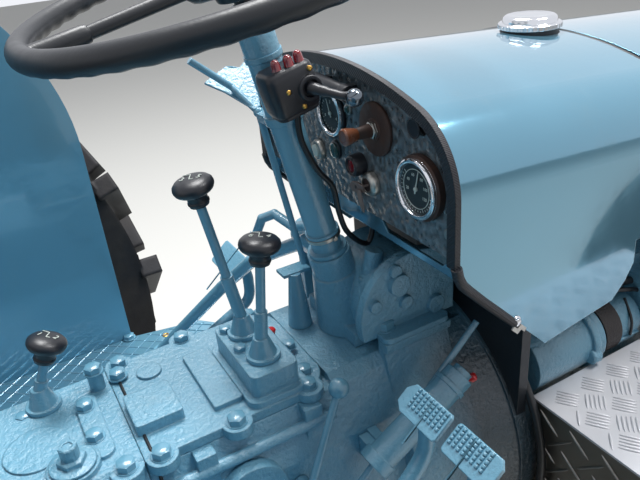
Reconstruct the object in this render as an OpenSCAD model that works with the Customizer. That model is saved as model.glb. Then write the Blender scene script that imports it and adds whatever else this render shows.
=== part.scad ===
// Light vintage farm tractor with an open driver's platform.
// X runs forward, Y to the left and Z up. The origin lies on the ground under the middle of the length.
// Inside the modules X is counted from the rear axle, so that every station is read on the real machine.

/* [Wheels] */
// Diameter of the rear tyres over the lugs
rear_tyre_d = 1256; // [1200:2:1290]
// Width of the rear tyres
rear_tyre_w = 280; // [240:2:300]
// Diameter of the rear rims at the tyre bead
rear_rim_d = 722; // [660:2:760]
// Distance between the middles of the rear tyres
rear_track = 1320; // [1310:2:1400]
// Height of the lugs on the rear tyres
lug_h = 32; // [20:1:40]
// Number of lugs on each half of a rear tyre
lug_count = 20; // [16:1:24]
// Diameter of the front tyres
front_tyre_d = 700; // [640:2:720]
// Width of the front tyres
front_tyre_w = 150; // [120:2:160]
// Diameter of the front rims at the tyre bead
front_rim_d = 414; // [390:2:440]
// Distance between the middles of the front tyres
front_track = 1240; // [1200:2:1300]
// Distance from the rear axle to the front axle
wheelbase = 1830; // [1780:5:1900]

/* [Castings] */
// Height of the gearbox top above the rear axle
gearbox_h = 172; // [150:1:190]
// Distance from the rear axle to the joint between axle housing and gearbox
split_x = 438; // [425:1:450]
// Half width of the gearbox at its top
case_half_w = 92; // [84:1:100]
// Radius of the clutch housing
bell_r = 200; // [185:1:205]
// Distance from the rear axle to the face between clutch housing and engine
bell_x = 888; // [870:1:910]
// Length of the engine block
engine_len = 600; // [560:1:620]
// Half width of the engine block
engine_half_w = 128; // [110:1:140]
// Radius of the rear axle tubes
axle_tube_r = 72; // [60:1:80]

/* [Bonnet and cowl] */
// Half width of the cowl at the dashboard
cowl_half_w = 209; // [190:1:225]
// Height of the cowl top above the rear axle, at the dashboard
cowl_h = 512; // [490:1:530]
// Radius of the cowl shoulders
shoulder_r = 80; // [60:1:100]
// Radius of the slightly crowned cowl top
crown_r = 494; // [440:1:600]
// Distance from the rear axle to the dashboard
dash_x = 745; // [735:1:760]
// Length of the cowl at its top
cowl_len = 325; // [300:1:350]
// Slope of the cowl and bonnet top towards the front, in degrees
bonnet_slope = 3.6; // [2:0.1:4]
// Thickness of the sheet metal
sheet_t = 3; // [2:0.5:4]
// Distance from the front axle to the front of the nose
nose_reach = 160; // [140:5:200]
// Gap of the rubber seam between cowl and bonnet
seam_gap = 8; // [6:1:12]

/* [Driver's place] */
// Lean of the steering column towards the driver, in degrees
column_lean = 12.6; // [8:0.1:18]
// Radius of the steering column jacket
column_r = 18.5; // [16:0.5:21]
// Distance from the rear axle to the foot of the column
column_x = 737; // [730:1:744]
// Radius of the steering wheel to the middle of its rim
wheel_r = 211; // [190:1:230]
// Radius of the steering wheel's grip
grip_r = 11.5; // [10:0.5:15]
// Height of the footplates above the ground at the standard rear tyre
foot_drop = 26; // [10:1:50]
// Thickness of the footplates
foot_t = 5; // [4:0.5:8]
// Distance from the middle plane to the inner plate of the fenders
fender_y = 443; // [430:1:460]
// Width of the fenders' cover
fender_w = 235; // [180:1:260]
// Height of the fender top above the rear axle
fender_h = 692; // [680:1:720]
// Distance from the rear axle to the front edge of the fenders
fender_front = 525; // [505:1:540]
// Width of the seat pan
seat_w = 440; // [400:1:460]
// Height of the seat above the rear axle
seat_h = 330; // [280:1:380]

/* [Battery box] */
// Length of the battery box along the tractor
box_len = 400; // [340:1:440]
// Width of the battery box
box_w = 240; // [200:1:260]
// Height of the battery box
box_h = 230; // [190:1:250]

/* [Front axle and steering] */
// Height of the front axle beam above the front wheel centre
beam_rise = 95; // [85:1:110]
// Distance from a front tyre's middle to its kingpin
kingpin_offset = 110; // [100:1:120]
// Radius of the kingpins
kingpin_r = 14; // [12:0.5:16]
// Length of the track rod arms on the kingpins
arm_len = 130; // [110:1:150]
// Length of the drop arm
drop_len = 150; // [120:1:160]

/* [Hitch] */
// Radius of the power take-off shaft
pto_r = 17.4; // [15:0.1:20]
// Radius of the hole in the tow jaw
tow_hole_r = 16; // [12:0.5:18]
// Spacing of the holes in the hitch bar
bar_pitch = 80; // [60:1:90]
// Radius of the holes in the hitch bar
bar_hole_r = 11; // [8:0.5:14]

/* [Hidden] */
$fn = 48;
fit = 0.06; // running clearance of pins and hubs
seat_gap = 0.3; // clearance between pieces that are bolted together
blue = [0.47, 0.62, 0.71];
black = [0.07, 0.07, 0.08];
rim_red = [0.62, 0.12, 0.09];
steel = [0.62, 0.62, 0.6];
rear_r = rear_tyre_d / 2;
front_r = front_tyre_d / 2;
axle_z = rear_r;
nose_x = wheelbase + nose_reach;
tow_reach = 26; // how far the front tow jaw stands before the nose
fender_back = -672; // end of the fenders behind the rear axle
front_end = max(wheelbase + front_r, nose_x + tow_reach);
rear_x = (max(rear_r, -fender_back) - front_end) / 2; // the rear axle in the part's own frame
case_top = axle_z + gearbox_h;
crank_z = axle_z - 8;
foot_z = axle_z - foot_drop;
cowl_top = axle_z + cowl_h;
seam_x = dash_x + cowl_len;
engine_x = bell_x;
engine_end = engine_x + engine_len;
box_y = 178; // inner side of the battery box, beside the clutch housing
box_top = crank_z + 97;
box_x = bell_x + 7;
kingpin_y = front_track / 2 - kingpin_offset;
beam_z = front_r + beam_rise;

// Placing helpers
module from_axle() { translate([rear_x, 0, 0]) children(); }
module both_sides() { children(); mirror([0, 1, 0]) children(); }
module side(s) { if (s > 0) children(); else mirror([0, 1, 0]) children(); }

// A section drawn in Y and Z, run forward from x
module along_x(x, len) { translate([x, 0, 0]) rotate([90, 0, 90]) linear_extrude(len) children(); }

// A section drawn in X and Z, run to the left from y
module along_y(y, len) { translate([0, y + len, 0]) rotate([90, 0, 0]) linear_extrude(len) children(); }

// A section drawn in X and Y, run up from z
module along_z(z, len) { translate([0, 0, z]) linear_extrude(len) children(); }

// A revolved piece on a lateral axis, its +Z to the left
module on_lateral(x, y, z) { translate([x, y, z]) rotate([-90, 0, 0]) children(); }

// A round bar from point a to point b
module rod(a, b, r) {
    d = b - a;
    translate(a) rotate([0, acos(d[2] / norm(d)), atan2(d[1], d[0])]) cylinder(r = r, h = norm(d));
}

// A bent bar through a list of points, with round corners
module bent_rod(points, r) {
    for (i = [0 : len(points) - 2]) rod(points[i], points[i + 1], r);
    for (i = [1 : len(points) - 2]) translate(points[i]) sphere(r * 1.03);
}

module rounded_square(size, r) {
    for (x = [r, size[0] - r]) for (y = [r, size[1] - r]) translate([x, y]) circle(r);
    translate([r, 0]) square([size[0] - 2 * r, size[1]]);
    translate([0, r]) square([size[0], size[1] - 2 * r]);
}

// Wheels: sections are drawn as radius and distance from the middle plane
module tyre_section(r_out, r_bead, w, tread) {
    bulge_r = (r_out + r_bead) / 2;
    bead = w * 0.33;
    polygon(concat([[bulge_r, w / 2], [r_bead, bead], [r_bead, -bead], [bulge_r, -w / 2]], tread));
}

// Two rows of slanting bars, one half a step behind the other
module tyre_lugs(r_out, tread_w) {
    bar_w = 36;
    bar_len = 168;
    bar_tilt = 42;
    corner = (bar_len * sin(bar_tilt) + bar_w * cos(bar_tilt)) / 2;
    face_r = sqrt(pow(r_out, 2) - pow(corner, 2));
    half_span = (bar_len * cos(bar_tilt) + bar_w * sin(bar_tilt)) / 2;
    step = 360 / lug_count;
    for (row = [-1, 1]) for (i = [0 : lug_count - 1])
        rotate(i * step + (row + 1) * step / 4) translate([face_r - lug_h - 8, 0, row * (tread_w / 2 - half_span)])
            rotate([row * bar_tilt, 0, 0]) translate([0, -bar_w / 2, -bar_len / 2]) cube([lug_h + 8, bar_w, bar_len]);
}

module rim_section(r_bead, w, t) {
    half = w * 0.36;
    well = 26;
    polygon([[r_bead + 12, -half - 6], [r_bead + 12, -half - 1], [r_bead - 0.3, -half - 1],
        [r_bead - 0.3, -half * 0.4], [r_bead - well, -half * 0.25], [r_bead - well, half * 0.25],
        [r_bead - 0.3, half * 0.4], [r_bead - 0.3, half + 1], [r_bead + 12, half + 1],
        [r_bead + 12, half + 6], [r_bead - t, half + 6], [r_bead - t, half * 0.45],
        [r_bead - well - t, half * 0.3], [r_bead - well - t, -half * 0.3], [r_bead - t, -half * 0.45],
        [r_bead - t, -half - 6]]);
}

module tyre_rear(s) {
    carcass_r = rear_r - lug_h - 3;
    tread_flat = rear_tyre_w * 0.44;
    color(black) from_axle() side(s) on_lateral(0, rear_track / 2, axle_z) {
        rotate_extrude() tyre_section(carcass_r, rear_rim_d / 2, rear_tyre_w,
            [[carcass_r, -tread_flat], [carcass_r, tread_flat]]);
        tyre_lugs(rear_r, rear_tyre_w * 0.96);
    }
}

module tyre_front(s) {
    groove_r = front_r - rib_h;
    color(black) from_axle() side(s) on_lateral(wheelbase, front_track / 2, front_r) rotate_extrude()
        tyre_section(groove_r, front_rim_d / 2, front_tyre_w,
            [[front_r - 4, -rib_w * 2.6], [front_r, -rib_w * 1.2], [groove_r, -rib_w * 0.85], [front_r, -rib_w * 0.5],
                [front_r, rib_w * 0.5], [groove_r, rib_w * 0.85], [front_r, rib_w * 1.2], [front_r - 4, rib_w * 2.6]]);
}

rib_h = 12; // ribs around the front tyres
rib_w = 23;
hub_r_rear = 88;
half_shaft_r = 30;
axle_flange_y = rear_track / 2 - rear_tyre_w / 2 - 24; // end of the axle tubes
module rim_rear(s) {
    disc_in = hub_r_rear - 20;
    color(rim_red) from_axle() side(s) on_lateral(0, rear_track / 2, axle_z) difference() {
        union() {
            rotate_extrude() rim_section(rear_rim_d / 2, rear_tyre_w, 5);
            rotate_extrude() polygon([[half_shaft_r + fit, -60], [hub_r_rear, -60], [hub_r_rear, -40],
                [disc_in + 130, -34], [rear_rim_d / 2 - 28, -16], [rear_rim_d / 2 - 28, -10],
                [disc_in + 130, -26], [hub_r_rear, -30], [hub_r_rear - 10, 6], [half_shaft_r + fit, 6]]);
            translate([0, 0, 6]) cylinder(r = hub_r_rear - 22, h = 10);
        }
        for (a = [0 : 45 : 359]) rotate(a) translate([rear_rim_d / 2 - 105, 0, -60]) cylinder(r = 26, h = 80);
    }
}

front_hub_r = 44;
spindle_r = 16;
module rim_front(s) {
    color(rim_red) from_axle() side(s) on_lateral(wheelbase, front_track / 2, front_r) difference() {
        union() {
            rotate_extrude() rim_section(front_rim_d / 2, front_tyre_w, 4);
            rotate_extrude() polygon([[spindle_r + fit, -52], [front_hub_r, -52], [front_hub_r, 8],
                [front_rim_d / 2 - 27, -8], [front_rim_d / 2 - 27, -3], [front_hub_r + 4, 14],
                [front_hub_r, 40], [spindle_r + fit, 40]]);
            translate([0, 0, 40]) cylinder(r = front_hub_r - 8, h = 12);
        }
        for (a = [0 : 60 : 359]) rotate(a) translate([front_rim_d / 2 - 66, 0, -30]) cylinder(r = 15, h = 60);
    }
}

module tyre_rear_left() { tyre_rear(1); }
module tyre_rear_right() { tyre_rear(-1); }
module tyre_front_left() { tyre_front(1); }
module tyre_front_right() { tyre_front(-1); }
module rim_rear_left() { rim_rear(1); }
module rim_rear_right() { rim_rear(-1); }
module rim_front_left() { rim_front(1); }
module rim_front_right() { rim_front(-1); }

// Bolt lugs at the joint edge: X from the joint, Y, height
rear_lugs = [[-18, -86, 24], [-99, 60, 20], [-150, -70, 22]];

// Rear axle housing, its tubes and the half shafts that carry the wheels
pto_x = -232;
pto_z = axle_z - 38;
module rear_axle_case() {
    color(blue) from_axle() {
        along_x(body_back, split_x - body_back - seat_gap)
            polygon([[-case_half_w + 8, case_top], [case_half_w - 8, case_top], [case_half_w, case_top - 8],
                [case_half_w + 34, case_top - 60], [case_half_w + 48, axle_z - 60], [80, axle_z - 165],
                [-80, axle_z - 165], [-case_half_w - 48, axle_z - 60], [-case_half_w - 34, case_top - 60],
                [-case_half_w, case_top - 8]]);
        along_z(case_top - 1, 5) translate([split_x - 45, -64]) rounded_square([24, 112], 11.9);
        translate([split_x - 94, -8, case_top - 1]) cylinder(r = 34, h = 3);
        translate([split_x - 64, -58, case_top - 1]) cylinder(r = 27, h = 7);
        translate([split_x - 64, -58, case_top]) cylinder(r = 9, h = 30);
        translate([split_x - 14, 58, case_top - 20]) cylinder(r = 9, h = 44);
        for (lug = rear_lugs) translate([split_x + lug[0], lug[1], case_top - 26]) cylinder(r = 18, h = lug[2]);
        both_sides() {
            on_lateral(0, 0, axle_z) cylinder(r = axle_tube_r, h = axle_flange_y - 2);
            on_lateral(0, case_half_w, axle_z) cylinder(r = axle_tube_r + 48, h = 90);
            on_lateral(0, axle_flange_y - 26, axle_z) cylinder(r = axle_tube_r + 26, h = 24);
            on_lateral(0, axle_flange_y - 10, axle_z)
                cylinder(r = half_shaft_r, h = rear_track / 2 - axle_flange_y + 12);
            for (x = [-100, 100]) translate([x - 7, case_half_w + 30, axle_z - 50]) cube([14, 60, 120]);
        }
        translate([pto_x, 0, pto_z]) rotate([0, 90, 0]) cylinder(r = pto_r, h = body_back - pto_x + 5);
        translate([body_back - 22, 0, pto_z]) rotate([0, 90, 0]) cylinder(r = 48, h = 26);
        along_x(body_back - plate_t, plate_t + 4) polygon([[-100, axle_z - 130], [100, axle_z - 130],
            [110, axle_z + 110], [-110, axle_z + 110]]);
    }
}

// Gearbox and clutch housing in one casting, a box that swells into the bell
bell_rim = 26;
case_front = bell_x - 150;
cover_t = 12;
cover_end = split_x + 222; // front end of the gearbox cover
flank_lugs = [split_x + 58, split_x + 186]; // bolt lugs on the gearbox sides
shelf_x = 733; // cast shelf beside the steering box
shelf_len = 96;
shelf_out = 7; // how far the shelf stands out from the gearbox top
shelf_z = case_top + 18;
case_edge = case_top - cover_t - seat_gap; // upper edge of the gearbox sides
case_waist = case_top - 70; // where the sides turn steep
waist_out = 26; // how far the waist stands out from the top
case_low = axle_z - 60;
function case_side(z) = case_half_w + (z > case_waist
    ? waist_out * (case_edge - z) / (case_edge - case_waist)
    : waist_out + 8 * (case_waist - z) / (case_waist - case_low));
module gearbox_case() {
    case_len = case_front - split_x;
    color(blue) from_axle() {
        along_x(split_x + seat_gap, case_len)
            polygon([[-case_half_w, case_edge], [case_half_w, case_edge], [case_side(case_waist), case_waist],
                [case_side(case_low), case_low], [70, axle_z - 175], [-70, axle_z - 175],
                [-case_side(case_low), case_low], [-case_side(case_waist), case_waist]]);
        along_x(cover_end + seat_gap, bell_x - cover_end - seat_gap - bell_rim)
            polygon([[-case_half_w + 14, case_top], [case_half_w - 14, case_top], [case_half_w, case_edge],
                [case_side(case_waist), case_waist], [-case_side(case_waist), case_waist], [-case_half_w, case_edge]]);
        translate([case_front, 0, crank_z]) rotate([0, 90, 0])
            cylinder(r1 = bell_r - 48, r2 = bell_r - 4, h = bell_x - case_front - bell_rim);
        translate([bell_x - bell_rim - seat_gap, 0, crank_z]) rotate([0, 90, 0]) cylinder(r = bell_r, h = bell_rim);
        for (s = [-1, 1]) for (x = flank_lugs) translate([x - 11, s * (case_half_w + 4) - 14, case_top - 62])
            cube([22, 28, 62 - cover_t - seat_gap]);
        for (s = [-1, 1]) translate([split_x + 16, s * (case_half_w + 15), case_top - 34]) rotate([0, 90, 0])
            cylinder(r = 7, h = cover_end - split_x - 26);
        for (s = [-1, 1]) on_lateral(split_x + 98, s * (case_half_w + 26) - 8, case_top - 82)
            cylinder(r = 40, h = 16);
        along_x(shelf_x, shelf_len) polygon([[-case_half_w + 12, case_top - 80], [-case_half_w + 12, shelf_z - seat_gap],
            [-case_half_w - shelf_out, shelf_z - seat_gap], [-case_half_w - shelf_out, shelf_z - 11],
            [-case_half_w - shelf_out + 6, shelf_z - 14], [-case_side(case_top - 80), case_top - 80]]);
    }
}

// Gearbox cover with its pads and the tower that carries the two gear levers
tower_x = split_x + 130;
tower_len = 58;
tower_h = 36;
cover_lugs = [[14, -92], [98, -92], [190, -86], [198, -60], [14, 88], [98, 92], [190, 86]]; // X from the joint, Y
module gearbox_cover() {
    cover_len = cover_end - split_x - seat_gap;
    color(blue) from_axle() {
        translate([split_x + seat_gap, -case_half_w, case_top - cover_t]) cube([cover_len - 40, 2 * case_half_w, cover_t]);
        along_z(case_top - cover_t, cover_t) translate([split_x + seat_gap, -case_half_w])
            rounded_square([cover_len, 2 * case_half_w], 38);
        for (lug = cover_lugs) translate([split_x + lug[0] + 4, lug[1], case_top - cover_t]) cylinder(r = 17, h = cover_t);
        along_z(case_top - 1, 15) translate([split_x + 4, -54]) rounded_square([53, 60], 4);
        along_z(case_top - 1, 7) translate([split_x + 88, -64]) rounded_square([34, 112], 3);
        translate([split_x + 46, 50, case_top - 1]) cylinder(r = 15, h = 4);
        along_z(case_top - 1, 9) translate([tower_x - 8, -90]) rounded_square([tower_len + 16, 132], 14);
        along_z(case_top - 1, tower_h + 1) translate([tower_x, -82]) rounded_square([tower_len, 118], 9);
    }
}

// Levers: foot x, y and height over the case, head x and height, knob radius
lever_table = [[597, 6, tower_h, 572, 228, 23], [597, -49, tower_h, 609, 167, 23],
    [363, 62, 0, 378, 72, 22]];
module gear_levers() {
    color(blue) from_axle() for (lever = lever_table) {
        foot = [lever[0], lever[1], case_top + lever[2] + seat_gap];
        head = [lever[3], lever[1], case_top + lever[4] - 14];
        translate(foot) cylinder(r = 20, h = 5);
        translate(foot) cylinder(r1 = 18, r2 = 9, h = 26);
        rod(foot + [0, 0, 20], head, 5.5);
        rod(foot + [0, 0, 20], foot + [0, 0, 20] + (head - foot - [0, 0, 20]) * 0.4, 7.5);
    }
}

module lever_knobs() {
    color(black) from_axle() for (lever = lever_table)
        translate([lever[3], lever[1], case_top + lever[4] - 14])
            rotate([0, atan2(lever[3] - lever[0], lever[4] - 34 - lever[2]), 0]) translate([0, 0, seat_gap])
            rotate_extrude() polygon([[0, 0], [11, 0], [12, 12], [lever[5] - 2, 17], [lever[5], 23],
                [lever[5] - 2, 29], [lever[5] * 0.6, 33], [0, 34]]);
}

// Engine block, sump and head
head_h = 96;
block_top = crank_z + 196;
port_x = [120, 270, 420]; // middles of the cylinders, from the rear face
manifold_y = 148;
manifold_z = block_top + 54;
outlet_top = crank_z + 180; // top of the flange where the exhaust pipe begins
fan_z = block_top - 26;
generator_z = crank_z + 150;
starter_y = engine_half_w + 7;
starter_z = box_top + 21;
starter_steps = [[20, 126, 42], [125, 137, 44.5], [136, 216, 36]]; // from, to, radius
module engine_block() {
    head_y = 86;
    color(blue) from_axle() {
        translate([engine_x + seat_gap, 0, crank_z]) rotate([0, 90, 0]) cylinder(r = box_y - 6, h = 22);
        translate([engine_x + 10, -engine_half_w, crank_z - 60])
            cube([engine_len - 10, 2 * engine_half_w, block_top - crank_z + 60]);
        along_x(engine_x + 40, engine_len - 60) polygon([[-engine_half_w + 12, crank_z - 59],
            [engine_half_w - 12, crank_z - 59], [engine_half_w - 26, crank_z - 150], [60, crank_z - 175],
            [-60, crank_z - 175], [-engine_half_w + 26, crank_z - 150]]);
        translate([engine_x + 60, -head_y, block_top - 1]) cube([engine_len - 110, 2 * head_y, head_h]);
        along_x(engine_x + 184, engine_len - 250) polygon([[-58, block_top + head_h - 2], [58, block_top + head_h - 2],
            [52, block_top + head_h + 26], [30, block_top + head_h + 38], [-30, block_top + head_h + 38],
            [-52, block_top + head_h + 26]]);
        for (x = port_x) {
            on_lateral(engine_x + x, head_y - 2, manifold_z) cylinder(r = 18, h = manifold_y - head_y + 2);
            on_lateral(engine_x + x, -manifold_y + 20, manifold_z) cylinder(r = 15, h = manifold_y - 20 - head_y + 2);
            translate([engine_x + x - 30, -engine_half_w - 7, crank_z + 60]) cube([60, 8, 110]);
            translate([engine_x + x - 40, 0, crank_z - 40]) cube([80, engine_half_w + 4, 60]);
        }
        for (x = [1, 2]) translate([engine_x + port_x[x], 0, block_top + head_h + 20]) cylinder(r = 11, h = 26);
        rod([engine_x + port_x[0] - 30, manifold_y, manifold_z], [engine_end - 70, manifold_y, manifold_z], 20);
        rod([engine_end - 85, manifold_y, manifold_z], [engine_end - 85, manifold_y, outlet_top + seat_gap], 17);
        rod([engine_x + port_x[0] - 30, -manifold_y + 20, manifold_z],
            [engine_x + port_x[2] + 40, -manifold_y + 20, manifold_z], 17);
        translate([engine_x + 226, -engine_half_w - 58, crank_z + 118]) cube([150, 60, 62]);
        for (x = [0 : 2]) translate([engine_x + 256 + x * 40, -engine_half_w - 30, crank_z + 179]) cylinder(r = 9, h = 26);
        for (x = [0, 84]) translate([engine_x + 70 + x, engine_half_w + 32, crank_z + 108]) {
            cylinder(r = 31, h = 84);
            translate([0, 0, 83]) cylinder(r1 = 34, r2 = 26, h = 12);
            translate([-12, -36, 50]) cube([24, 12, 30]);
        }
        for (p = starter_steps) rod([engine_x + p[0], -starter_y, starter_z], [engine_x + p[1], -starter_y, starter_z], p[2]);
        rod([engine_end - 110, -engine_half_w - 30, generator_z], [engine_end + 20, -engine_half_w - 30, generator_z], 42);
        rod([engine_end + 19, -engine_half_w - 30, generator_z], [engine_end + 44, -engine_half_w - 30, generator_z], 12);
        rod([engine_end + 28, -engine_half_w - 30, generator_z], [engine_end + 44, -engine_half_w - 30, generator_z], 34);
        rod([engine_end - 4, 0, fan_z], [engine_end + 100, 0, fan_z], 18);
        rod([engine_end - 4, 0, fan_z], [engine_end + 20, 0, fan_z], 46);
        rod([engine_end + 28, 0, fan_z], [engine_end + 48, 0, fan_z], 56);
        rod([engine_end - 4, 0, crank_z], [engine_end + 46, 0, crank_z], 20);
        rod([engine_end + 26, 0, crank_z], [engine_end + 46, 0, crank_z], 50);
        for (a = [0 : 60 : 359]) translate([engine_end + 88, 0, fan_z]) rotate([a, 0, 0]) translate([0, -24, 10])
            rotate([0, 0, 24]) cube([3, 48, 130]);
    }
}

// Cast carrier ahead of the engine, which holds the radiator, the front axle and the bonnet's hinge
carrier_z = front_r + beam_rise + 62;
carrier_h = 58;
carrier_top = carrier_z + carrier_h;
carrier_end = nose_x - 30;
hinge_x = nose_x - 30;
hinge_z = carrier_top + 16;
hinge_y = 80;
pin_r = 5;
module front_bolster() {
    color(blue) from_axle() {
        translate([engine_end + seat_gap, -engine_half_w, carrier_z])
            cube([carrier_end - engine_end - seat_gap, 2 * engine_half_w, carrier_h]);
        translate([wheelbase - 50, -52, beam_z + 27]) cube([20, 104, carrier_z - beam_z - 26]);
        translate([wheelbase + 30, -52, beam_z + 27]) cube([20, 104, carrier_z - beam_z - 26]);
        difference() {
            translate([engine_end + seat_gap, -engine_half_w, crank_z - 60]) cube([22, 2 * engine_half_w, 160]);
            translate([engine_end - 5, 0, crank_z]) rotate([0, 90, 0]) cylinder(r = 26, h = 40);
        }
        both_sides() {
            translate([hinge_x - 10, hinge_y - 20, carrier_top - 50]) cube([12, 20, 50 + hinge_z - carrier_top]);
            on_lateral(hinge_x, hinge_y - 20, hinge_z) cylinder(r = 10, h = 20);
            on_lateral(hinge_x, hinge_y - 20, hinge_z) cylinder(r = pin_r, h = 42);
        }
        difference() {
            translate([carrier_end - 1, -34, carrier_z - 18]) cube([nose_x - carrier_end + tow_reach + 1, 68, 46]);
            translate([carrier_end + 28, -40, carrier_z - 6]) cube([60, 80, 22]);
            translate([nose_x + 8, 0, carrier_z - 30]) cylinder(r = 9, h = 70);
        }
    }
}

module front_axle() {
    eye_h = 60;
    color(blue) from_axle() difference() {
        union() {
            along_x(wheelbase - 26, 52) polygon([[-60, beam_z + 26], [60, beam_z + 26], [150, beam_z + 14],
                [kingpin_y, beam_z + 26], [kingpin_y, beam_z - 26], [130, beam_z - 34], [-130, beam_z - 34],
                [-kingpin_y, beam_z - 26], [-kingpin_y, beam_z + 26], [-150, beam_z + 14]]);
            both_sides() translate([wheelbase, kingpin_y, beam_z - eye_h / 2]) cylinder(r = 30, h = eye_h);
            translate([wheelbase - 52, 0, beam_z + 4]) rotate([0, 90, 0]) cylinder(r = 22, h = 104);
        }
        both_sides() translate([wheelbase, kingpin_y, beam_z - eye_h]) cylinder(r = kingpin_r + fit, h = 2 * eye_h);
    }
}

// Steering knuckle with kingpin, wheel spindle and track rod arm
arm_z = beam_z + 30 + 2;
module knuckle(s) {
    color(blue) from_axle() side(s) {
        translate([wheelbase, kingpin_y, front_r - 34]) cylinder(r = 27, h = beam_rise + 34 - 30 - 2);
        translate([wheelbase, kingpin_y, front_r]) cylinder(r = kingpin_r, h = arm_z + 16 - front_r);
        on_lateral(wheelbase, kingpin_y, front_r) cylinder(r = 24, h = kingpin_offset - 52 - 2);
        on_lateral(wheelbase, kingpin_y, front_r) cylinder(r = spindle_r, h = kingpin_offset + 38);
        translate([wheelbase, kingpin_y, arm_z]) cylinder(r = 26, h = 16);
        translate([wheelbase - arm_len, kingpin_y - 14, arm_z]) cube([arm_len, 28, 14]);
        translate([wheelbase - arm_len, kingpin_y, arm_z]) cylinder(r = 18, h = 14);
        if (s > 0) {
            translate([wheelbase - 14, kingpin_y - drop_len, arm_z]) cube([28, drop_len, 14]);
            translate([wheelbase, kingpin_y - drop_len, arm_z]) cylinder(r = 18, h = 14);
        }
    }
}
module knuckle_left() { knuckle(1); }
module knuckle_right() { knuckle(-1); }

// Track rod between the two knuckles, hung under their arms
rod_z = arm_z - 22;
module tie_rod() {
    color(blue) from_axle() {
        rod([wheelbase - arm_len, -kingpin_y, rod_z], [wheelbase - arm_len, kingpin_y, rod_z], 13);
        both_sides() translate([wheelbase - arm_len, kingpin_y, rod_z - 16]) cylinder(r = 19, h = 16 + 22 - seat_gap);
    }
}

// Steering box under the column; its cross shaft carries the drop arm on the left
steer_x = 790;
steer_z = case_top + 32;
steer_y = 196;
arm_t = 14;
link_y = steer_y + arm_t + seat_gap;
link_top = arm_z + arm_t + seat_gap;
cover_bosses = [[-24, 43, 14, 7], [-14, 14, 9, 5], [-58, 24, 8, 5], [30, -4, 12, 6], [-28, 62, 8, 5]]; // X, Z, radius, height
module steering_box() {
    drum_z = steer_z + 8;
    drum_r = 66;
    cover_y = -78; // outer face of the side cover
    color(blue) from_axle() {
        intersection() {
            translate(column_point(-30)) rotate([0, -column_lean, 0]) cylinder(r1 = 46, r2 = 29, h = 84);
            translate([column_x - 90, -60, case_top + seat_gap]) cube([160, 120, 100]);
        }
        rod(column_point(40), column_point(84 - seat_gap), 27);
        intersection() {
            on_lateral(steer_x, cover_y + 12, drum_z) cylinder(r = drum_r, h = 100);
            translate([steer_x - 80, cover_y, shelf_z]) cube([140, 120, 100]);
        }
        intersection() {
            on_lateral(steer_x, cover_y, drum_z) cylinder(r = drum_r + 12, h = 13);
            translate([steer_x - 80, cover_y - 5, shelf_z]) cube([140, 30, 100]);
        }
        for (b = cover_bosses) on_lateral(steer_x + b[0], cover_y - b[3], drum_z + b[1]) cylinder(r = b[2], h = b[3] + 1);
        rod([steer_x - 8, 0, drum_z + 10], column_point(30), 24);
        translate([714, -58, case_top + seat_gap]) cube([90, 116, 19]);
        along_z(shelf_z, 7) translate([shelf_x, -case_half_w - shelf_out]) rounded_square([shelf_len, 70], 9);
        translate([steer_x - 42, -40, drum_z + 20]) rotate([0, 12, 0]) cylinder(r = 11, h = 56);
        on_lateral(steer_x, 30, steer_z) cylinder(r = 26, h = steer_y - 30 - seat_gap);
        on_lateral(steer_x, 60, steer_z) cylinder(r = 30, h = 22);
    }
}

module drop_arm() {
    color(blue) from_axle() {
        on_lateral(steer_x, steer_y, steer_z) cylinder(r = 24, h = arm_t);
        translate([steer_x - 14, steer_y, steer_z - drop_len]) cube([28, arm_t, drop_len]);
        on_lateral(steer_x, steer_y, steer_z - drop_len) cylinder(r = 20, h = arm_t);
        on_lateral(steer_x, steer_y, steer_z - drop_len) cylinder(r = 10, h = arm_t + 26);
    }
}

module drag_link() {
    rear = [steer_x, link_y + 11, steer_z - drop_len];
    front = [wheelbase, kingpin_y - drop_len, link_top + 13];
    color(blue) from_axle() {
        difference() {
            union() {
                rod(rear, front, 11);
                on_lateral(steer_x, link_y, steer_z - drop_len) cylinder(r = 19, h = 22);
            }
            on_lateral(steer_x, link_y - 5, steer_z - drop_len) cylinder(r = 10 + fit, h = 60);
        }
        translate([wheelbase, kingpin_y - drop_len, link_top]) cylinder(r = 18, h = 26);
    }
}

// A point on the column's axis, at a distance from its foot
function column_point(d) = [column_x - d * sin(column_lean), 0, case_top + 30 + d * cos(column_lean)];
jacket_len = 338;
throttle_y = 31; // the throttle rod runs down this far left of the column
hub_at = 420;
module steering_column() {
    color(blue) from_axle() {
        rod(column_point(84), column_point(jacket_len), column_r);
        rod(column_point(84), column_point(90), column_r + 6);
        rod(column_point(111), column_point(115), column_r + 2.5);
        rod(column_point(262), column_point(272), column_r + 3);
        rod(column_point(jacket_len - 6), column_point(jacket_len), column_r + 2);
        translate(column_point(267)) rotate([0, -column_lean, 0]) translate([-20, 10, -5])
            cube([24, throttle_y - 6 - seat_gap - 10, 10]);
    }
}

module steering_wheel() {
    spoke_r = 6.5;
    color(black) from_axle() translate(column_point(hub_at)) rotate([0, -column_lean, 0]) {
        rotate_extrude() translate([wheel_r, 0]) circle(grip_r);
        for (a = [62, 182, 302]) rotate(a) translate([0, 0, -2]) rotate([0, 90, 0]) {
            translate([0, 0, 20]) cylinder(r = spoke_r, h = wheel_r - 25);
            translate([0, 0, 25]) cylinder(r1 = 16, r2 = 10, h = 28);
            translate([0, 0, wheel_r - 60]) cylinder(r1 = spoke_r + 1, r2 = grip_r - 1, h = 56);
        }
        translate([0, 0, -24]) cylinder(r1 = 26, r2 = 33, h = 20);
        translate([0, 0, -5]) cylinder(r = 33, h = 20);
        translate([0, 0, 14]) cylinder(r1 = 30, r2 = 22, h = 8);
        translate([0, 0, jacket_len + seat_gap - hub_at]) cylinder(r = 11, h = hub_at - jacket_len - 20);
    }
}

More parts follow.
